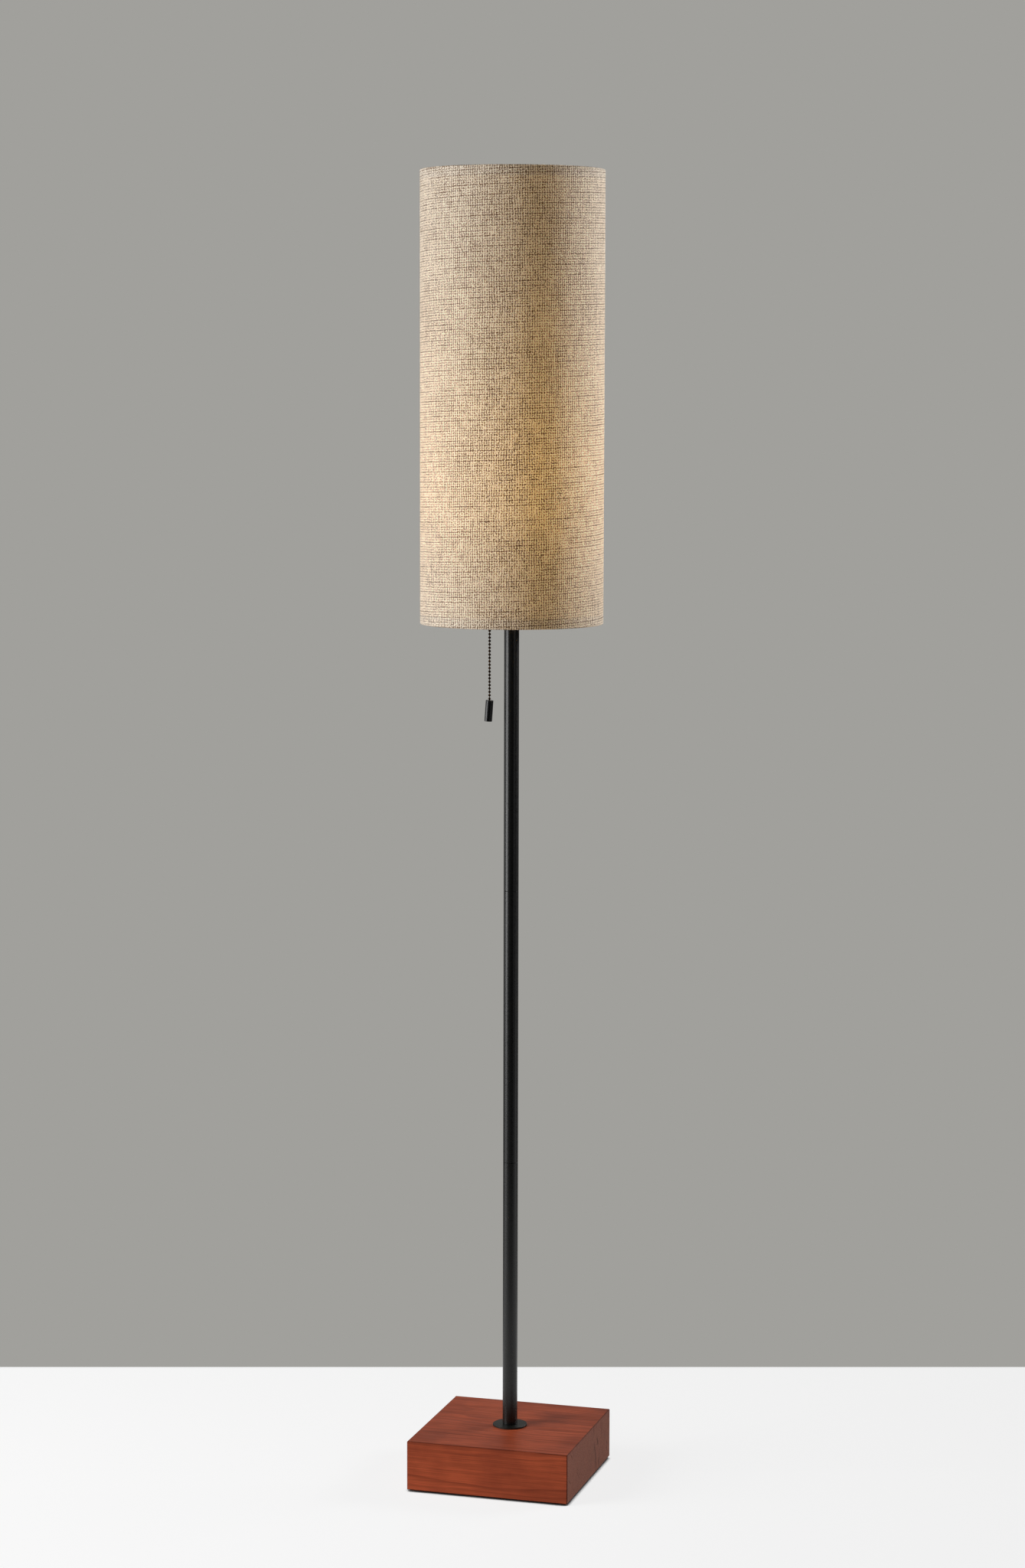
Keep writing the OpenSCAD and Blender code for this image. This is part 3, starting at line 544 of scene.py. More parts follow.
    def _edges(self, tree: NodeTree, place: NodeSocket) -> NodeSocket:
        """Give 1 along the block's edges, where the stain gathered and went dark.

        Args:
            tree: Node tree of the material.
            place: Place on the block, in millimetres.

        Returns:
            Share of edge.
        """
        off = add(tree, "VectorMath SUBTRACT", {0: place, 1: self.middle_mm})
        off = add(tree, "VectorMath ABSOLUTE", {0: off})
        off = add(tree, "VectorMath SUBTRACT", {0: self.half_mm, 1: off})
        x, y, z = (add(tree, "SeparateXYZ", {0: off}, axis) for axis in "XYZ")
        near = self.half_mm[0]
        for one, other in ((x, y), (y, z), (z, x)):
            pair = add(tree, "Math MAXIMUM", {0: one, 1: other})
            near = add(tree, "Math MINIMUM", {0: near, 1: pair})
        return add(tree, "MapRange", {0: near, 1: self.edge_mm, 2: 0.3 * self.edge_mm})


# Solid hardwood, stained red brown and wiped, then sprayed with satin varnish: warm, with fine
# dark lines along the grain, darker edges, and a soft sheen on the faces seen at a slant.
WOOD = StainedWood(
    "hardwood_stained", "stained_wood", "#dc6841", "#b85434", (0.4, 0.52), 1.25, 0.03, 42.0,
    ior=1.45,
)


@dataclass(frozen=True)
class SlubbyWeave(Finish):
    """Plain-woven cloth of uneven yarn, with the bulb's light coming through.

    It reads the cloth's own places in millimetres: round the tube, and up from its lower rim. Its
    fine marks are the yarns, with painted shade in the gaps between them. The weft climbs by two
    thick wefts in a turn of the tube, so that it meets itself at the seam. The bulb's light is a
    painted glow, which falls off more slowly upwards than downwards. Neighbouring yarns, and
    neighbouring dark lines, lie well apart in the noise that they read.
    """

    thick_weft_mm: float = 11.68
    slant: float = 23.36 / 684.9
    sway_mm: float = 1.6
    sway_length_mm: float = 30.0
    strand_mm: float = 1.9
    strands_in_yarn: float = 4.0
    flecks_in_yarn: float = 2.4
    slub_mm: tuple[float, float] = (15.0, 21.0)
    break_mm: float = 42.0
    yarns_apart: float = 17.31
    lines_apart: float = 9.17
    mean_tone: float = 0.64
    # The glow fields set a painted glow: an emission that stands in for the bulb's light through
    # the cloth.
    glow_colour: str = "#ffc15c"
    gap_painted_glow: str = "#ffb142"
    glow: float = 0.265
    glow_peak: float = 0.84
    glow_all_over: float = 0.36
    glow_from_mm: float = 163.0
    glow_below_mm: float = 114.0
    glow_above_mm: float = 173.0
    height_mm: float = 533.0
    hem_mm: float = 12.0
    hem_painted_glow: float = 0.72
    inside_painted_glow: float = 0.1
    uv_name: str = "cloth_mm"

    def surface(self, tree: NodeTree) -> NodeSocket:
        """Build the shader from yarns, slubs and the light behind them.

        Args:
            tree: Node tree of the material.

        Returns:
            The shader's output.
        """
        cloth = add(tree, "UVMap", {}, uv_map=self.uv_name)
        around = add(tree, "SeparateXYZ", {0: cloth}, "X")
        height = add(tree, "SeparateXYZ", {0: cloth}, "Y")
        sway, clouds = (
            add(tree, "TexNoise", {"Vector": cloth, "Scale": 1 / length, "Detail": SOFT})
            for length in (self.sway_length_mm, self.patch_mm)
        )
        sway = add(tree, "MapRange", {0: sway, 3: -self.sway_mm, 4: self.sway_mm})
        across = add(tree, "Math ADD", {0: around, 1: sway})
        level = height
        for shift, share in ((around, -self.slant), (sway, 0.3)):
            level = add(tree, "Math MULTIPLY_ADD", {0: shift, 1: share, 2: level})
        warp, weft = (
            add(tree, "Math MULTIPLY", {0: place, 1: 1 / self.mark_mm})
            for place in (across, level)
        )

        warp_crest, weft_crest = self._crest(tree, warp), self._crest(tree, weft)
        warp_slubs = self._slubs(tree, warp, height, self.slub_mm[0])
        weft_slubs = self._slubs(tree, weft, around, self.slub_mm[1])
        lines = self._thick_wefts(tree, level, around)
        over = self._over(tree, warp, weft)
        flecks = self._flecks(tree, warp, weft)
        strands = self._strands(tree, over, (warp, height), (weft, around))
        top = add(tree, "Mix", {0: over, 2: weft_crest, 3: warp_crest})

        # Each term: what it varies with, its share of the tone, and where it adds nothing.
        # The crest terms darken the gaps between yarns, which is painted shade; the slubs, flecks,
        # strands, lines and clouds are the yarn's own tone.
        terms = (
            (warp_crest, 0.37, 0.5),
            (top, 0.7, 0.5),
            (warp_slubs, 0.7, 0.5),
            (weft_slubs, 0.22, 0.5),
            (flecks, 0.75, 0.5),
            (strands, 2.8, 0.5),
            (lines, -0.37, 0.18),
            (clouds, 0.3, 0.5),
        )
        tone = self.mean_tone - sum(share * even for _, share, even in terms)
        for term, share, _ in terms:
            tone = add(tree, "Math MULTIPLY_ADD", {0: term, 1: share, 2: tone})
        tone = add(tree, "MapRange", {0: tone})

        # The dark parts are made darker still and lose blue before red, which in the gaps is
        # painted shade, and they pass more of the painted glow than they reflect.
        pale, through = (
            add(tree, "Math MULTIPLY_ADD", {0: tone, 1: steep, 2: even})
            for steep, even in ((0.92, 0.48), (1.3, 0.63))
        )
        pale = add(tree, "Math MULTIPLY", {0: pale, 1: tone})
        through = add(tree, "Math MULTIPLY", {0: through, 1: tone})
        colour, warmth = (
            add(tree, "Mix", {0: share, **ends}, MIX_OUT, data_type="RGBA")
            for share, ends in (
                (pale, {MIX_A: linear(self.patch_colour), MIX_B: linear(self.colour)}),
                (tone, {MIX_A: linear(self.gap_painted_glow), MIX_B: linear(self.glow_colour)}),
            )
        )
        # Painted glow: an emission by height that stands in for the bulb's light coming through the
        # cloth.
        light = add(tree, "Math MULTIPLY", {0: self._painted_glow(tree, height), 1: through})
        relief = top
        for rise, high in ((flecks, 0.6), (strands, 1.2)):
            relief = add(tree, "Math MULTIPLY_ADD", {0: rise, 1: high, 2: relief})
        rises = {"Height": relief, "Distance": self.relief_mm * MM, "Strength": 1.0}
        inputs = {
            "Base Color": colour,
            "Roughness": self.roughness[0],
            "Specular IOR Level": 0.25,
            "Sheen Weight": 0.12,
            "Sheen Roughness": 0.5,
            "Emission Color": warmth,
            "Emission Strength": light,
            "Normal": add(tree, "Bump", rises),
        }
        return add(tree, "BsdfPrincipled", inputs)

    def _crest(self, tree: NodeTree, yarn: NodeSocket) -> NodeSocket:
        """Give 1 along the middle of each yarn and 0 in the gap beside it.

        Args:
            tree: Node tree of the material.
            yarn: Place across the yarns, in yarns.

        Returns:
            Height of the yarn.
        """
        phase = add(tree, "Math MULTIPLY", {0: yarn, 1: 2 * math.pi})
        wave = add(tree, "Math COSINE", {0: phase})
        return add(tree, "Math MULTIPLY_ADD", {0: wave, 1: -0.5, 2: 0.5})

    def _strands(
        self,
        tree: NodeTree,
        over: NodeSocket,
        warp_run: tuple[NodeSocket, NodeSocket],
        weft_run: tuple[NodeSocket, NodeSocket],
    ) -> NodeSocket:
        """Give the strands of the yarn on top, which run along it.

        Args:
            tree: Node tree of the material.
            over: 1 where the warp is on top.
            warp_run: Place across the warp yarns, in yarns, and along them, in millimetres.
            weft_run: The same for the weft yarns.

        Returns:
            Tone, around 0.5.
        """
        tones = []
        for across, along in (weft_run, warp_run):
            side = add(tree, "Math MULTIPLY", {0: across, 1: self.strands_in_yarn})
            run = add(tree, "Math MULTIPLY", {0: along, 1: 1 / self.strand_mm})
            where = add(tree, "CombineXYZ", {0: side, 1: run})
            where = {"Vector": where, "Scale": 1.0, "Detail": SMOOTH}
            tones.append(add(tree, "TexNoise", where, noise_dimensions="2D"))
        return add(tree, "Mix", {0: over, 2: tones[0], 3: tones[1]})

    def _over(self, tree: NodeTree, warp: NodeSocket, weft: NodeSocket) -> NodeSocket:
        """Give 1 where the warp crosses over the weft and 0 where it goes under.

        Args:
            tree: Node tree of the material.
            warp: Place across the warp, in yarns.
            weft: Place across the weft, in yarns.

        Returns:
            Share of warp on top.
        """
        waves = []
        for yarn in (warp, weft):
            phase = add(tree, "Math MULTIPLY", {0: yarn, 1: math.pi})
            waves.append(add(tree, "Math SINE", {0: phase}))
        product = add(tree, "Math MULTIPLY", {0: waves[0], 1: waves[1]})
        product = {0: product, 1: -0.3, 2: 0.3}
        return add(tree, "MapRange", product, interpolation_type="SMOOTHSTEP")

    def _flecks(self, tree: NodeTree, warp: NodeSocket, weft: NodeSocket) -> NodeSocket:
        """Give soft flecks, about two to a crossing.

        Args:
            tree: Node tree of the material.
            warp: Place across the warp, in yarns.
            weft: Place across the weft, in yarns.

        Returns:
            Tone, around 0.5.
        """
        where = add(tree, "CombineXYZ", {0: warp, 1: weft})
        where = {"Vector": where, "Scale": self.flecks_in_yarn, "Detail": SMOOTH}
        flecks = add(tree, "TexNoise", where, noise_dimensions="2D")
        return add(tree, "MapRange", {0: flecks, 1: NOISE_LOW, 2: NOISE_HIGH})

    def _slubs(
        self,
        tree: NodeTree,
        yarn: NodeSocket,
        along: NodeSocket,
        length_mm: float,
    ) -> NodeSocket:
        """Give each yarn its own tone, which changes along its run.

        Args:
            tree: Node tree of the material.
            yarn: Place across the yarns, in yarns.
            along: Place along them, in millimetres.
            length_mm: Length of a slub.

        Returns:
            Tone, around 0.5.
        """
        number = add(tree, "Math FLOOR", {0: yarn})
        number = add(tree, "Math MULTIPLY", {0: number, 1: self.yarns_apart})
        run = add(tree, "Math MULTIPLY", {0: along, 1: 1 / length_mm})
        where = add(tree, "CombineXYZ", {0: number, 1: run})
        where = {"Vector": where, "Scale": 1.0, "Detail": SOFT}
        return add(tree, "TexNoise", where, noise_dimensions="2D")

    def _thick_wefts(self, tree: NodeTree, level: NodeSocket, around: NodeSocket) -> NodeSocket:
        """Give 1 on the dark, broken lines at every second weft, every other one stronger.

        Args:
            tree: Node tree of the material.
            level: Place up the cloth and along its slant, in millimetres.
            around: Place round the tube, in millimetres.

        Returns:
            Share of line.
        """
        row = add(tree, "Math MULTIPLY", {0: level, 1: 2 / self.thick_weft_mm})
        part = add(tree, "Math FRACT", {0: row})
        off = add(tree, "Math SUBTRACT", {0: part, 1: 0.5})
        off = add(tree, "Math ABSOLUTE", {0: off})
        line = add(tree, "MapRange", {0: off, 1: 0.17, 2: 0.04}, interpolation_type="SMOOTHSTEP")
        number = add(tree, "Math FLOOR", {0: row})
        other = add(tree, "Math MODULO", {0: number, 1: 2.0})
        number = add(tree, "Math MULTIPLY", {0: number, 1: self.lines_apart})
        run = add(tree, "Math MULTIPLY", {0: around, 1: 1 / self.break_mm})
        where = add(tree, "CombineXYZ", {0: number, 1: run})
        where = {"Vector": where, "Scale": 1.0, "Detail": FINE}
        breaks = add(tree, "TexNoise", where, noise_dimensions="2D")
        breaks = add(tree, "Math MULTIPLY_ADD", {0: other, 1: 0.08, 2: breaks})
        shown = add(tree, "MapRange", {0: breaks, 1: 0.36, 2: 0.66})
        return add(tree, "Math MULTIPLY", {0: line, 1: shown})

    def _painted_glow(self, tree: NodeTree, height: NodeSocket) -> NodeSocket:
        """Give the strength of the bulb's light at a height: brightest beside the globe.

        Args:
            tree: Node tree of the material.
            height: Height over the lower rim, in millimetres.

        Returns:
            Strength of the painted glow, which stands in for the light that comes through.
        """
        # Painted glow: emission strength by height, standing in for the bulb's light through the
        # cloth.
        off = add(tree, "Math SUBTRACT", {0: height, 1: self.glow_from_mm})
        above = add(tree, "Math GREATER_THAN", {0: off, 1: 0.0})
        spread = {0: above, 3: 1 / self.glow_below_mm, 4: 1 / self.glow_above_mm}
        spread = add(tree, "MapRange", spread)
        turn = add(tree, "Math MULTIPLY", {0: off, 1: spread})
        square = add(tree, "Math MULTIPLY_ADD", {0: turn, 1: turn, 2: 1.0})
        light = add(tree, "Math DIVIDE", {0: self.glow_peak, 1: square})
        light = add(tree, "Math ADD", {0: light, 1: self.glow_all_over})
        light = add(tree, "Math MULTIPLY", {0: light, 1: self.glow})
        half = self.height_mm / 2
        middle = add(tree, "Math SUBTRACT", {0: height, 1: half})
        middle = add(tree, "Math ABSOLUTE", {0: middle})
        # The painted glow is dimmed past each of these lines: the hem's edge, then the rim.
        hem = half - self.hem_mm
        for dim, clear, least in (
            (hem + 1, hem - 1, self.hem_painted_glow),
            (half + 2, half, self.inside_painted_glow),
        ):
            share = add(tree, "MapRange", {0: middle, 1: dim, 2: clear, 3: least, 4: 1.0})
            light = add(tree, "Math MULTIPLY", {0: light, 1: share})
        return light


# Undyed linen-look cloth, plain woven from slubby yarn and glued to the liner: matt and creamy,
# with dark flecks, and painted shade in the gaps between yarns. The bulb's light through it is a
# painted glow. The yarns are drawn 2.9 mm apart, as coarse as they show, and their strands 0.7 mm,
# because finer ones would not show.
CLOTH = SlubbyWeave(
    "linen_plain_woven", "shade_fabric", "#f7f3e9", "#714b22", (0.9, 0.9), 2.92, 0.45, 55.0
)


@dataclass(frozen=True)
class LitOpal(Finish):
    """Opal glass with the lamp switched on behind it."""

    glow_colour: str = "#ffd9a0"
    glow: tuple[float, float] = (3.68, 4.0)

    def surface(self, tree: NodeTree) -> NodeSocket:
        """Build the shader: an even glow, slightly dimmer in faint clouds.

        Args:
            tree: Node tree of the material.

        Returns:
            The shader's output.
        """
        place = self.place_mm(tree)
        clouds = add(tree, "TexNoise", {"Vector": place, "Scale": 1 / self.mark_mm, "Detail": SOFT})
        low, high = self.glow
        strength = {0: clouds, 1: NOISE_LOW, 2: NOISE_HIGH, 3: low, 4: high}
        colours = {MIX_A: linear(self.colour), MIX_B: linear(self.patch_colour)}
        inputs = {
            "Base Color": add(tree, "Mix", {0: clouds, **colours}, MIX_OUT, data_type="RGBA"),
            "Roughness": self.roughness[0],
            "IOR": self.ior,
            "Emission Color": linear(self.glow_colour),
            "Emission Strength": add(tree, "MapRange", strength),
        }
        return add(tree, "BsdfPrincipled", inputs)


# Blown opal glass, lit: an even warm white with a smooth skin.
OPAL = LitOpal(
    "glass_opal_blown", "opal_glass", "#f4efe2", "#efe8d8", (0.12, 0.12), 18.0, ior=1.52
)


# ---- Camera, floor and light ----


@dataclass(frozen=True)
class PhotoCamera:
    """Camera of the photograph, fitted to the block's corners, the pole and the shade's rims."""

    lens_mm: float = 81.11
    sensor_mm: float = 36.0
    azimuth_deg: float = 16.165
    distance: float = 4.1983
    height: float = 1.3304
    tilt_deg: float = 6.530
    turn_deg: float = -0.0186
    roll_deg: float = 0.132
    image_size: tuple[int, int] = (1339, 2048)

    def matrix(self) -> Matrix:
        """Give the camera's place and turn."""
        azimuth = math.radians(self.azimuth_deg)
        place = (self.distance * math.sin(azimuth), -self.distance * math.cos(azimuth), self.height)
        aim = Matrix.Rotation(azimuth + math.radians(self.turn_deg), 4, "Z")
        aim = aim @ Matrix.Rotation(math.radians(90 - self.tilt_deg), 4, "X")
        roll = Matrix.Rotation(math.radians(self.roll_deg), 4, "Z")
        return Matrix.Translation(place) @ aim @ roll

    def direction(self, angle_deg: float) -> Vector:
        """Give the level direction from the lamp at an angle to the right of the camera."""
        angle = math.radians(self.azimuth_deg + angle_deg)
        return Vector((math.sin(angle), -math.cos(angle), 0.0))

    def floor_point(self, x_px: float, y_px: float) -> Vector:
        """Give the point of the floor under a pixel of the photograph.

        Args:
            x_px: Pixels from the left of the photograph.
            y_px: Pixels from its top.

        Returns:
            The point, at height 0.
        """
        width, height = self.image_size
        focal = self.lens_mm / self.sensor_mm * height
        turn = self.matrix()
        right, up = (x_px - width / 2) / focal, (height / 2 - y_px) / focal
        ray = turn.to_3x3() @ Vector((right, up, -1.0))
        return turn.translation - ray * (turn.translation.z / ray.z)

    def build(self) -> None:
        """Add the camera and make it the scene's."""
        data = bpy.data.cameras.new("photo_camera")
        data.lens = self.lens_mm
        data.sensor_width = self.sensor_mm
        camera = bpy.data.objects.new("photo_camera", data)
        camera.matrix_world = self.matrix()
        bpy.context.scene.collection.objects.link(camera)
        bpy.context.scene.camera = camera


@dataclass(frozen=True)
class SoftBox:
    """A soft light, placed by its angle to the right of the camera, as seen from the lamp."""

    name: str
    angle_deg: float
    rise_deg: float
    distance: float
    aim_height: float
    size: tuple[float, float]
    watts: float
    spread_deg: float = 180.0

    def build(self, camera: PhotoCamera) -> None:
        """Add the light.

        Args:
            camera: Camera that the angle is counted from.
        """
        rise = math.radians(self.rise_deg)
        target = Vector((0, 0, self.aim_height))
        way = camera.direction(self.angle_deg) * math.cos(rise) + Vector((0, 0, math.sin(rise)))
        data = bpy.data.lights.new(self.name, "AREA")
        data.shape = "RECTANGLE"
        data.size, data.size_y = self.size
        data.energy = self.watts
        data.spread = math.radians(self.spread_deg)
        light = bpy.data.objects.new(self.name, data)
        light.location = target + way * self.distance
        light.rotation_euler = (-way).to_track_quat("-Z", "Y").to_euler()
        light.visible_camera = False
        bpy.context.scene.collection.objects.link(light)


def seen_directly(tree: NodeTree, in_gloss: NodeSocket) -> NodeSocket:
    """Give 1 to what looks at a backdrop itself, and 0 to the light that it would cast.

    Args:
        tree: Node tree of the backdrop.
        in_gloss: Share of it that shows in a reflection.

    Returns:
        1 for the camera and through glass, and the share in a reflection.
    """
    rays = ("Is Glossy Ray", "Is Camera Ray", "Is Transmission Ray")
    gloss, camera, glass = (add(tree, "LightPath", {}, ray) for ray in rays)
    seen = add(tree, "Math MULTIPLY", {0: gloss, 1: in_gloss})
    seen = add(tree, "Math MAXIMUM", {0: seen, 1: camera})
    return add(tree, "Math MAXIMUM", {0: seen, 1: glass})


@dataclass
class Studio:
    """Pale floor that ends behind the lamp, grey behind it, and four soft lights."""

    camera: PhotoCamera
    floor_edge_px: float = 1785.5
    floor_half_width: float = 4.0
    floor_length: float = 5.5
    paper_end: float = 0.8
    paper_fade: float = 0.25
    paper_colour: str = "#7c7c7c"
    floor_colour: str = "#f4f4f4"
    floor_glow: float = 0.9
    # Painted contact shadow: how far the ambient occlusion reaches, and the range it is mapped
    # from.
    contact: float = 0.008
    painted_shadow_range: tuple[float, float] = (0.42, 0.72)
    wall_range: tuple[float, float] = (0.4, 0.97)
    back_colour: str = "#a1a09c"
    room_colour: str = "#2f2f31"
    boxes: tuple[SoftBox, ...] = (
        SoftBox("key_left", -72.0, 0.0, 2.6, 1.35, (1.4, 2.5), 67.0),
        SoftBox("bounce_left", -108.0, 0.0, 2.6, 1.3, (1.3, 2.4), 6.0),
        SoftBox("rim_right", 111.5, 12.0, 3.4, 1.46, (1.5, 1.2), 13.6, spread_deg=56.0),
        SoftBox("fill_right", 46.0, 0.0, 3.2, 1.0, (1.0, 2.0), 3.2),
    )

    def build(self) -> None:
        """Add the floor, the world and the lights."""
        self._floor()
        self._world()
        for box in self.boxes:
            box.build(self.camera)

    def _floor(self) -> None:
        """Add the floor, its far edge level across the photograph."""
        left = self.camera.floor_point(0, self.floor_edge_px)
        right = self.camera.floor_point(self.camera.image_size[0], self.floor_edge_px)
        side = (right - left).normalized()
        front = Vector((side.y, -side.x, 0))
        middle = (left + right) / 2
        corners = [
            middle + side * (sign * self.floor_half_width) + front * run
            for sign, run in ((-1, 0), (-1, self.floor_length), (1, self.floor_length), (1, 0))
        ]
        mesh = bpy.data.meshes.new("floor")
        mesh.from_pydata([c[:] for c in corners], [], [(0, 1, 2, 3)])
        floor = bpy.data.objects.new("floor", mesh)
        bpy.context.scene.collection.objects.link(floor)
        mesh.materials.append(self._paper(front))

    def _paper(self, front: Vector) -> Material:
        """Make the floor's matt paper.

        Most of its paleness is its own, so that the lamp's shadow on it stays faint. Its own
        paleness is dimmed by ambient occlusion close under the block: a painted contact shadow. In
        a reflection it ends where the paper ends, in front of the lamp.

        Args:
            front: Level direction from the floor's far edge to its near one.

        Returns:
            The material.
        """
        material = bpy.data.materials.new("floor_paper_matt")
        tree = bare_tree(material)
        place = add(tree, "TexCoord", {}, "Object")
        run = add(tree, "VectorMath DOT_PRODUCT", {0: place, 1: tuple(front)}, "Value")
        paper = {0: run, 1: self.paper_end + self.paper_fade, 2: self.paper_end - self.paper_fade}
        seen = seen_directly(tree, add(tree, "MapRange", paper))
        # Painted contact shadow: the floor's own glow is dimmed where the block is close above it.
        low, high = self.painted_shadow_range
        clear = add(tree, "AmbientOcclusion", {"Distance": self.contact}, "AO", samples=8)
        clear = add(tree, "MapRange", {0: clear, 1: low, 2: high})
        glow = add(tree, "Math MULTIPLY", {0: seen, 1: clear})
        glow = add(tree, "Math MULTIPLY", {0: glow, 1: self.floor_glow})
        own = add(tree, "Emission", {"Color": linear(self.floor_colour), "Strength": glow})
        lit = add(tree, "BsdfDiffuse", {"Color": linear(self.paper_colour)})
        both = add(tree, "AddShader", {0: lit, 1: own})
        add(tree, "OutputMaterial", {"Surface": both})
        return material

    def _world(self) -> None:
        """Set the grey that is seen behind the lamp, and the dim room that lights it."""
        world = bpy.data.worlds.new("studio")
        tree = bare_tree(world)
        way = add(tree, "TexCoord", {}, "Generated")
        back = tuple(-self.camera.direction(0.0))
        facing = add(tree, "VectorMath DOT_PRODUCT", {0: way, 1: back}, "Value")
        low, high = self.wall_range
        wall = add(tree, "MapRange", {0: facing, 1: low, 2: high}, interpolation_type="SMOOTHSTEP")
        colours = {MIX_A: linear(self.room_colour), MIX_B: linear(self.back_colour)}
        share = seen_directly(tree, wall)
        colour = add(tree, "Mix", {0: share, **colours}, MIX_OUT, data_type="RGBA")
        light = add(tree, "Background", {"Color": colour, "Strength": 1.0})
        add(tree, "OutputWorld", {"Surface": light})
        bpy.context.scene.world = world


# ---- Sub-assemblies ----


@dataclass
class SubAssembly:
    """A part of the lamp that is built and dressed by itself."""

    nodes: dict[str, Object]

    def dress(self, finish: Finish, *names: str) -> None:
        """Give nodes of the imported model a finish.

        Args:
            finish: Finish of the pieces.
            *names: Names of the nodes.
        """
        for name in names:
            mesh = self.nodes[name].data
            mesh.materials.clear()
            mesh.materials.append(finish.material())
            LOG.info("dressed %s with %s", name, finish.name)

    def place(self, name: str, mesh: Mesh, finish: Finish, body: str, *stands_for: str) -> Object:
        """Add a piece to the scene.

        Args:
            name: Name of the piece.
            mesh: Its mesh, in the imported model's frame.
            finish: Its finish.
            body: Body that it moves with.
            *stands_for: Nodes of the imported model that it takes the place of.

        Returns:
            The piece.
        """
        piece = bpy.data.objects.new(name, mesh)
        bpy.context.scene.collection.objects.link(piece)
        mesh.materials.append(finish.material())
        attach(piece, body)
        if stands_for:
            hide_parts(*stands_for)
        LOG.info("built %s on %s, %d faces", name, body, len(mesh.polygons))
        return piece


@dataclass
class WoodenBase(SubAssembly):
    """Wooden block with its pads, cover, weight and cord bushing."""

    def build(self) -> None:
        """Dress the pieces."""
        self.dress(WOOD, "base_block")
        self.dress(FELT, "feet")
        self.dress(COVER_PAINT, "base_cover")
        self.dress(CAST_IRON, "base_weight")
        self.dress(NYLON, "cord_bushing")
        self.dress(ZINC_STEEL, "cover_screws", "base_nipple", "base_washer", "base_lock_washer")
        self.dress(ZINC_STEEL, "base_nut")


@dataclass
class Pole(SubAssembly):
    """Three tubes on a flange, joined by threaded nipples."""

    def build(self) -> None:
        """Dress the pieces."""
        self.dress(POLE_ENAMEL, "pole_lower", "pole_middle", "pole_upper", "pole_cap")
        self.dress(SATIN_ENAMEL, "base_flange")
        self.dress(ZINC_STEEL, "tube_inserts", "seam_nipples")
        self.dress(WIRE_PVC, "inner_lead")
        self.dress(WHITE_NYLON, "splice_caps")


@dataclass
class Socket(SubAssembly):
    """Moulded socket with its pull switch and its threaded shell."""

    shell_mm: float = 13.1
    shell_wall_mm: float = 0.5
    shell_hole_mm: float = 9.0

    def build(self) -> None:
        """Dress the pieces and build the shell."""
        self.dress(PHENOLIC, "socket_cap", "switch_body", "socket_shell", "shade_ring_nut")
        self.dress(ZINC_STEEL, "socket_nipple", "socket_lock_nut", "drum_pin", "switch_drum")
        self.dress(BRASS, "terminal_tabs", "terminal_screws", "switch_contacts", "centre_contact")
        self.dress(FIBRE, "socket_insulator")
        mesh = spun_mesh("socket_shell_threaded", turns(THREAD.columns), self._shell_outline)
        self.place("socket_shell_threaded", mesh, BRASS, "lamp", "screw_shell")

    def _shell_outline(self, angle: float) -> list[Point]:
        """Give the shell's section at an angle: a floor with a hole and a threaded wall.

        Args:
            angle: Angle round the axis.

        Returns:
            The outline, as (radius, height) points.
        """
        low, high = (corner.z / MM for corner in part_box("screw_shell"))
        inside = THREAD.wall(angle, self.shell_mm, low + self.shell_wall_mm, high)
        wall = self.shell_wall_mm * MM
        hole = self.shell_hole_mm * MM
        outside = [(r + wall, z) for r, z in inside[1:]]
        corner = (inside[0][0] + wall, low * MM)
        return [(hole, low * MM), corner, *outside, *reversed(inside), (hole, low * MM + wall)]


@dataclass
class PullChain(SubAssembly):
    """Ball chain with its guide and knob."""

    def build(self) -> None:
        """Dress the pieces."""
        self.dress(SATIN_ENAMEL, "chain_guide")
        self.dress(BLACK_BRASS, "chain_lead", "chain_pivot_bead", "chain_upper", "chain_lower")
        self.dress(KNOB_LACQUER, "chain_knob", "knob_cap")


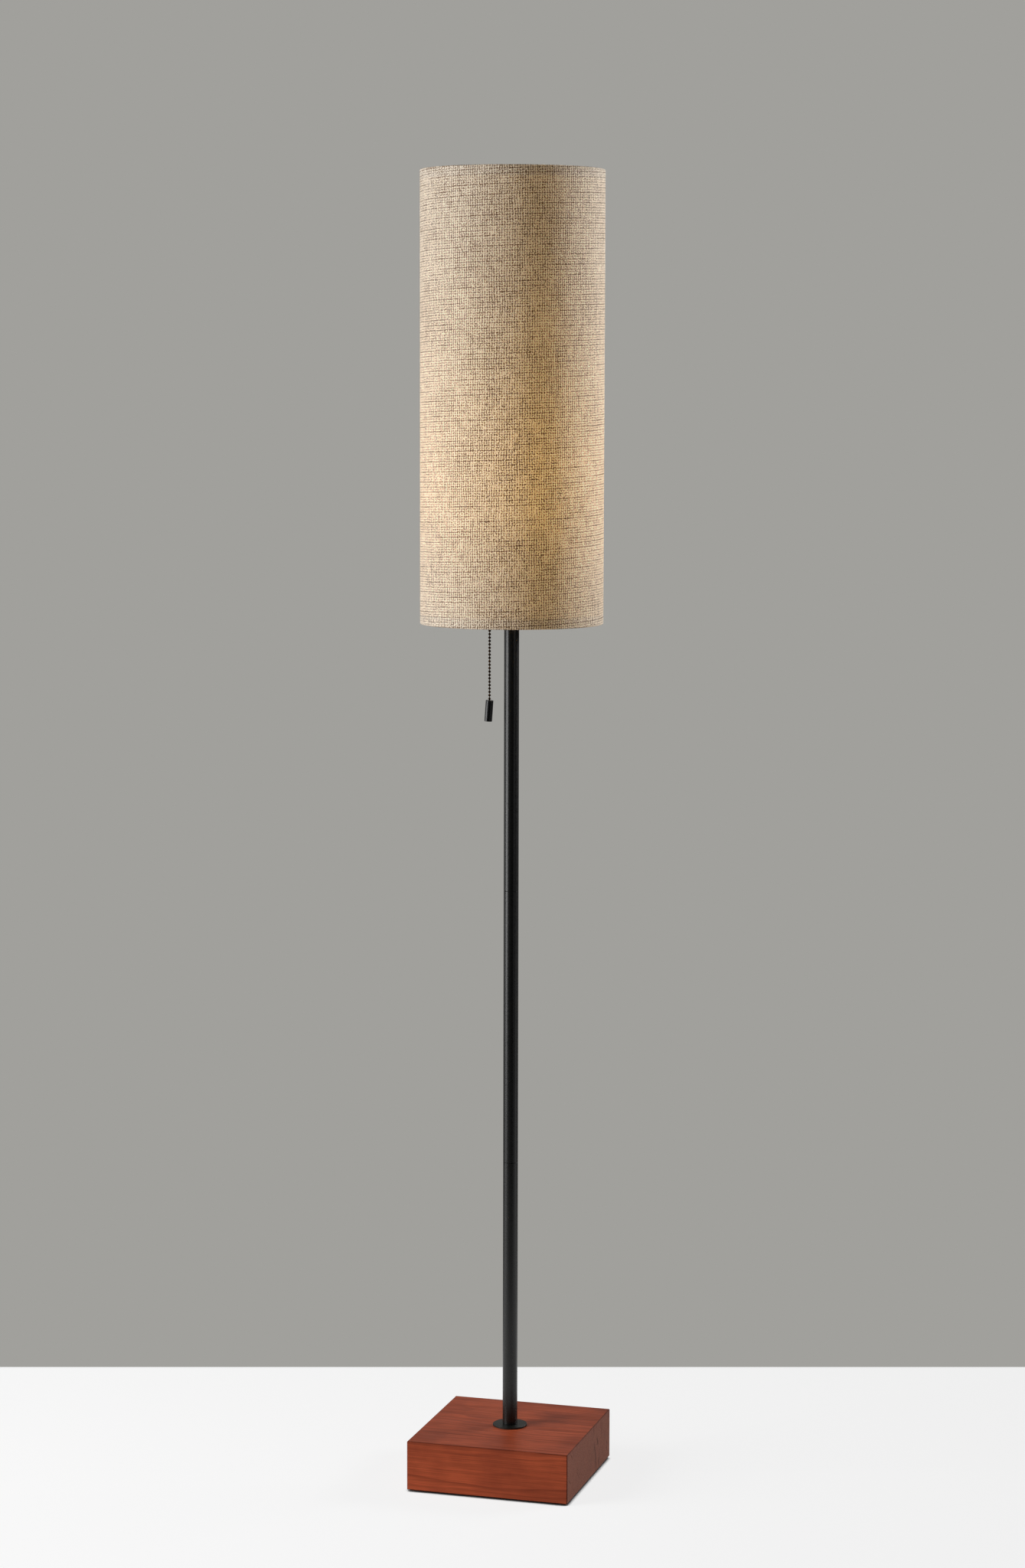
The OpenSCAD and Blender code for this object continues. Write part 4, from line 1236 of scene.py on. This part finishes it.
@dataclass
class Shade(SubAssembly):
    """Tube of cloth on a liner, turned in over two wire rings."""

    cloth_mm: float = 0.6
    ring_mm: float = 4.5
    over_ring_mm: float = 6.0
    hem_mm: float = 12.0
    fold_mm: float = 1.2
    fold_steps: int = 4
    lap_mm: float = 8.0
    lap_lift_mm: float = 0.35
    lap_ease_deg: float = 3.0
    columns: int = 240
    seam_deg: float = 94.2
    seam_gap_deg: float = 0.03

    def build(self) -> None:
        """Dress the rings, the fitter and the liner, and build the cloth."""
        self.dress(SATIN_ENAMEL, "shade_fitter", "shade_top_ring")
        self.dress(LINER, "shade_liner")
        low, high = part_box("shade_fabric")
        outer = high.x
        mesh = self._cloth_mesh(outer, low.z, high.z)
        cloth = self.place("shade_cloth", mesh, CLOTH, "lamp", "shade_fabric")

    def _cloth_mesh(self, outer: float, low: float, high: float) -> Mesh:
        """Build the cloth: a skin that turns in over both rings and laps over itself at the back.

        Args:
            outer: Outer radius of the shade.
            low: Height of the lower rim.
            high: Height of the upper rim.

        Returns:
            The mesh, with the cloth's own places in millimetres as texture.
        """
        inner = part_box("shade_fitter")[1].x - self.ring_mm * MM
        t, fold, hem = self.cloth_mm * MM, self.fold_mm * MM, self.hem_mm * MM
        lap_deg = math.degrees(self.lap_mm * MM / outer)
        rise_deg = 360 - lap_deg - self.lap_ease_deg
        step_deg = (360 - self.seam_gap_deg) / self.columns
        angles = [math.radians(self.seam_deg + step_deg * i) for i in range(self.columns + 1)]

        def outline(angle: float) -> list[Point]:
            """Give the cloth's section at an angle.

            Args:
                angle: Angle round the axis.

            Returns:
                The outline, as (radius, height) points, from the lower hem out, up and in.
            """
            turned = math.degrees(angle) - self.seam_deg
            ease = min(max((turned - rise_deg) / self.lap_ease_deg, 0), 1)
            r = outer + self.lap_lift_mm * MM * ease
            return [
                (inner, low + hem),
                *arc((inner + fold, low + fold), fold, 180, 270, self.fold_steps),
                *arc((r - fold, low + fold), fold, 270, 360, self.fold_steps),
                *arc((r - fold, high - fold), fold, 0, 90, self.fold_steps),
                *arc((inner + fold, high - fold), fold, 90, 180, self.fold_steps),
                (inner, high - hem),
                (inner + t, high - hem),
                (inner + t, high - t),
                (outer - t, high - t),
                (outer - t, low + t),
                (inner + t, low + t),
                (inner + t, low + hem),
            ]

        flat = outline(angles[0])
        rise, last = [0.0], flat[0]
        for point in flat[1:] + flat[:1]:
            rise.append(rise[-1] + math.dist(last, point))
            last = point
        # The skin starts at the end of the second fold, and the lower rim is one fold under that.
        start = rise[2 * (self.fold_steps + 1)] - fold

        def place(column: int, row: int) -> Point:
            """Give the place on the cloth, in millimetres, of a column and a point."""
            turned = step_deg * column
            return (math.radians(turned) * outer / MM, (rise[row] - start) / MM)

        return spun_mesh("shade_cloth", angles, outline, place, CLOTH.uv_name)


@dataclass
class Bulb(SubAssembly):
    """Globe bulb with its threaded cap."""

    cap_mm: float = 12.7
    cap_wall_mm: float = 0.4
    cap_hole_mm: float = 9.5
    foot_mm: tuple[Point, ...] = ((10.5, 0.0), (11.35, 0.67), (12.2, 1.33))
    thread_mm: Point = (2.0, 17.4)
    band_mm: float = 12.95
    band_start_mm: float = 0.6

    def build(self) -> None:
        """Dress the pieces and build the cap."""
        self.dress(SOLDER, "bulb_contact")
        self.dress(BLACK_GLASS, "bulb_insulator")
        self.dress(OPAL, "bulb_glass")
        mesh = spun_mesh("bulb_cap_threaded", turns(THREAD.columns), self._cap_outline)
        self.place("bulb_cap_threaded", mesh, NICKEL, "bulb", "bulb_cap")

    def _cap_outline(self, angle: float) -> list[Point]:
        """Give the cap's section at an angle: a turned-in foot, the thread and a plain band.

        Args:
            angle: Angle round the axis.

        Returns:
            The outline, as (radius, height) points.
        """
        low, high = (corner.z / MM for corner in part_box("bulb_cap"))
        start, end = (low + rise for rise in self.thread_mm)
        foot = [(r * MM, (low + rise) * MM) for r, rise in self.foot_mm]
        band = [(self.band_mm * MM, z * MM) for z in (end + self.band_start_mm, high)]
        outside = [*foot, *THREAD.wall(angle, self.cap_mm, start, end), *band]
        wall, hole = self.cap_wall_mm * MM, self.cap_hole_mm * MM
        inside = [(r - wall, max(z, low * MM + wall)) for r, z in reversed(outside)]
        inside[0] = (inside[0][0], high * MM)
        return [(hole, low * MM), *outside, *inside, (hole, low * MM + wall)]


def main() -> None:
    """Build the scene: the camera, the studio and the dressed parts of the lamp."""
    logging.basicConfig(level=logging.INFO, format="%(name)s: %(message)s")
    scene = bpy.context.scene
    scene.view_settings.view_transform = "Standard"
    camera = PhotoCamera()
    camera.build()
    Studio(camera).build()
    nodes = frame["nodes"]
    for part in (WoodenBase, Pole, Socket, PullChain, Shade, Bulb):
        part(nodes).build()


if __name__ == "__main__":
    main()
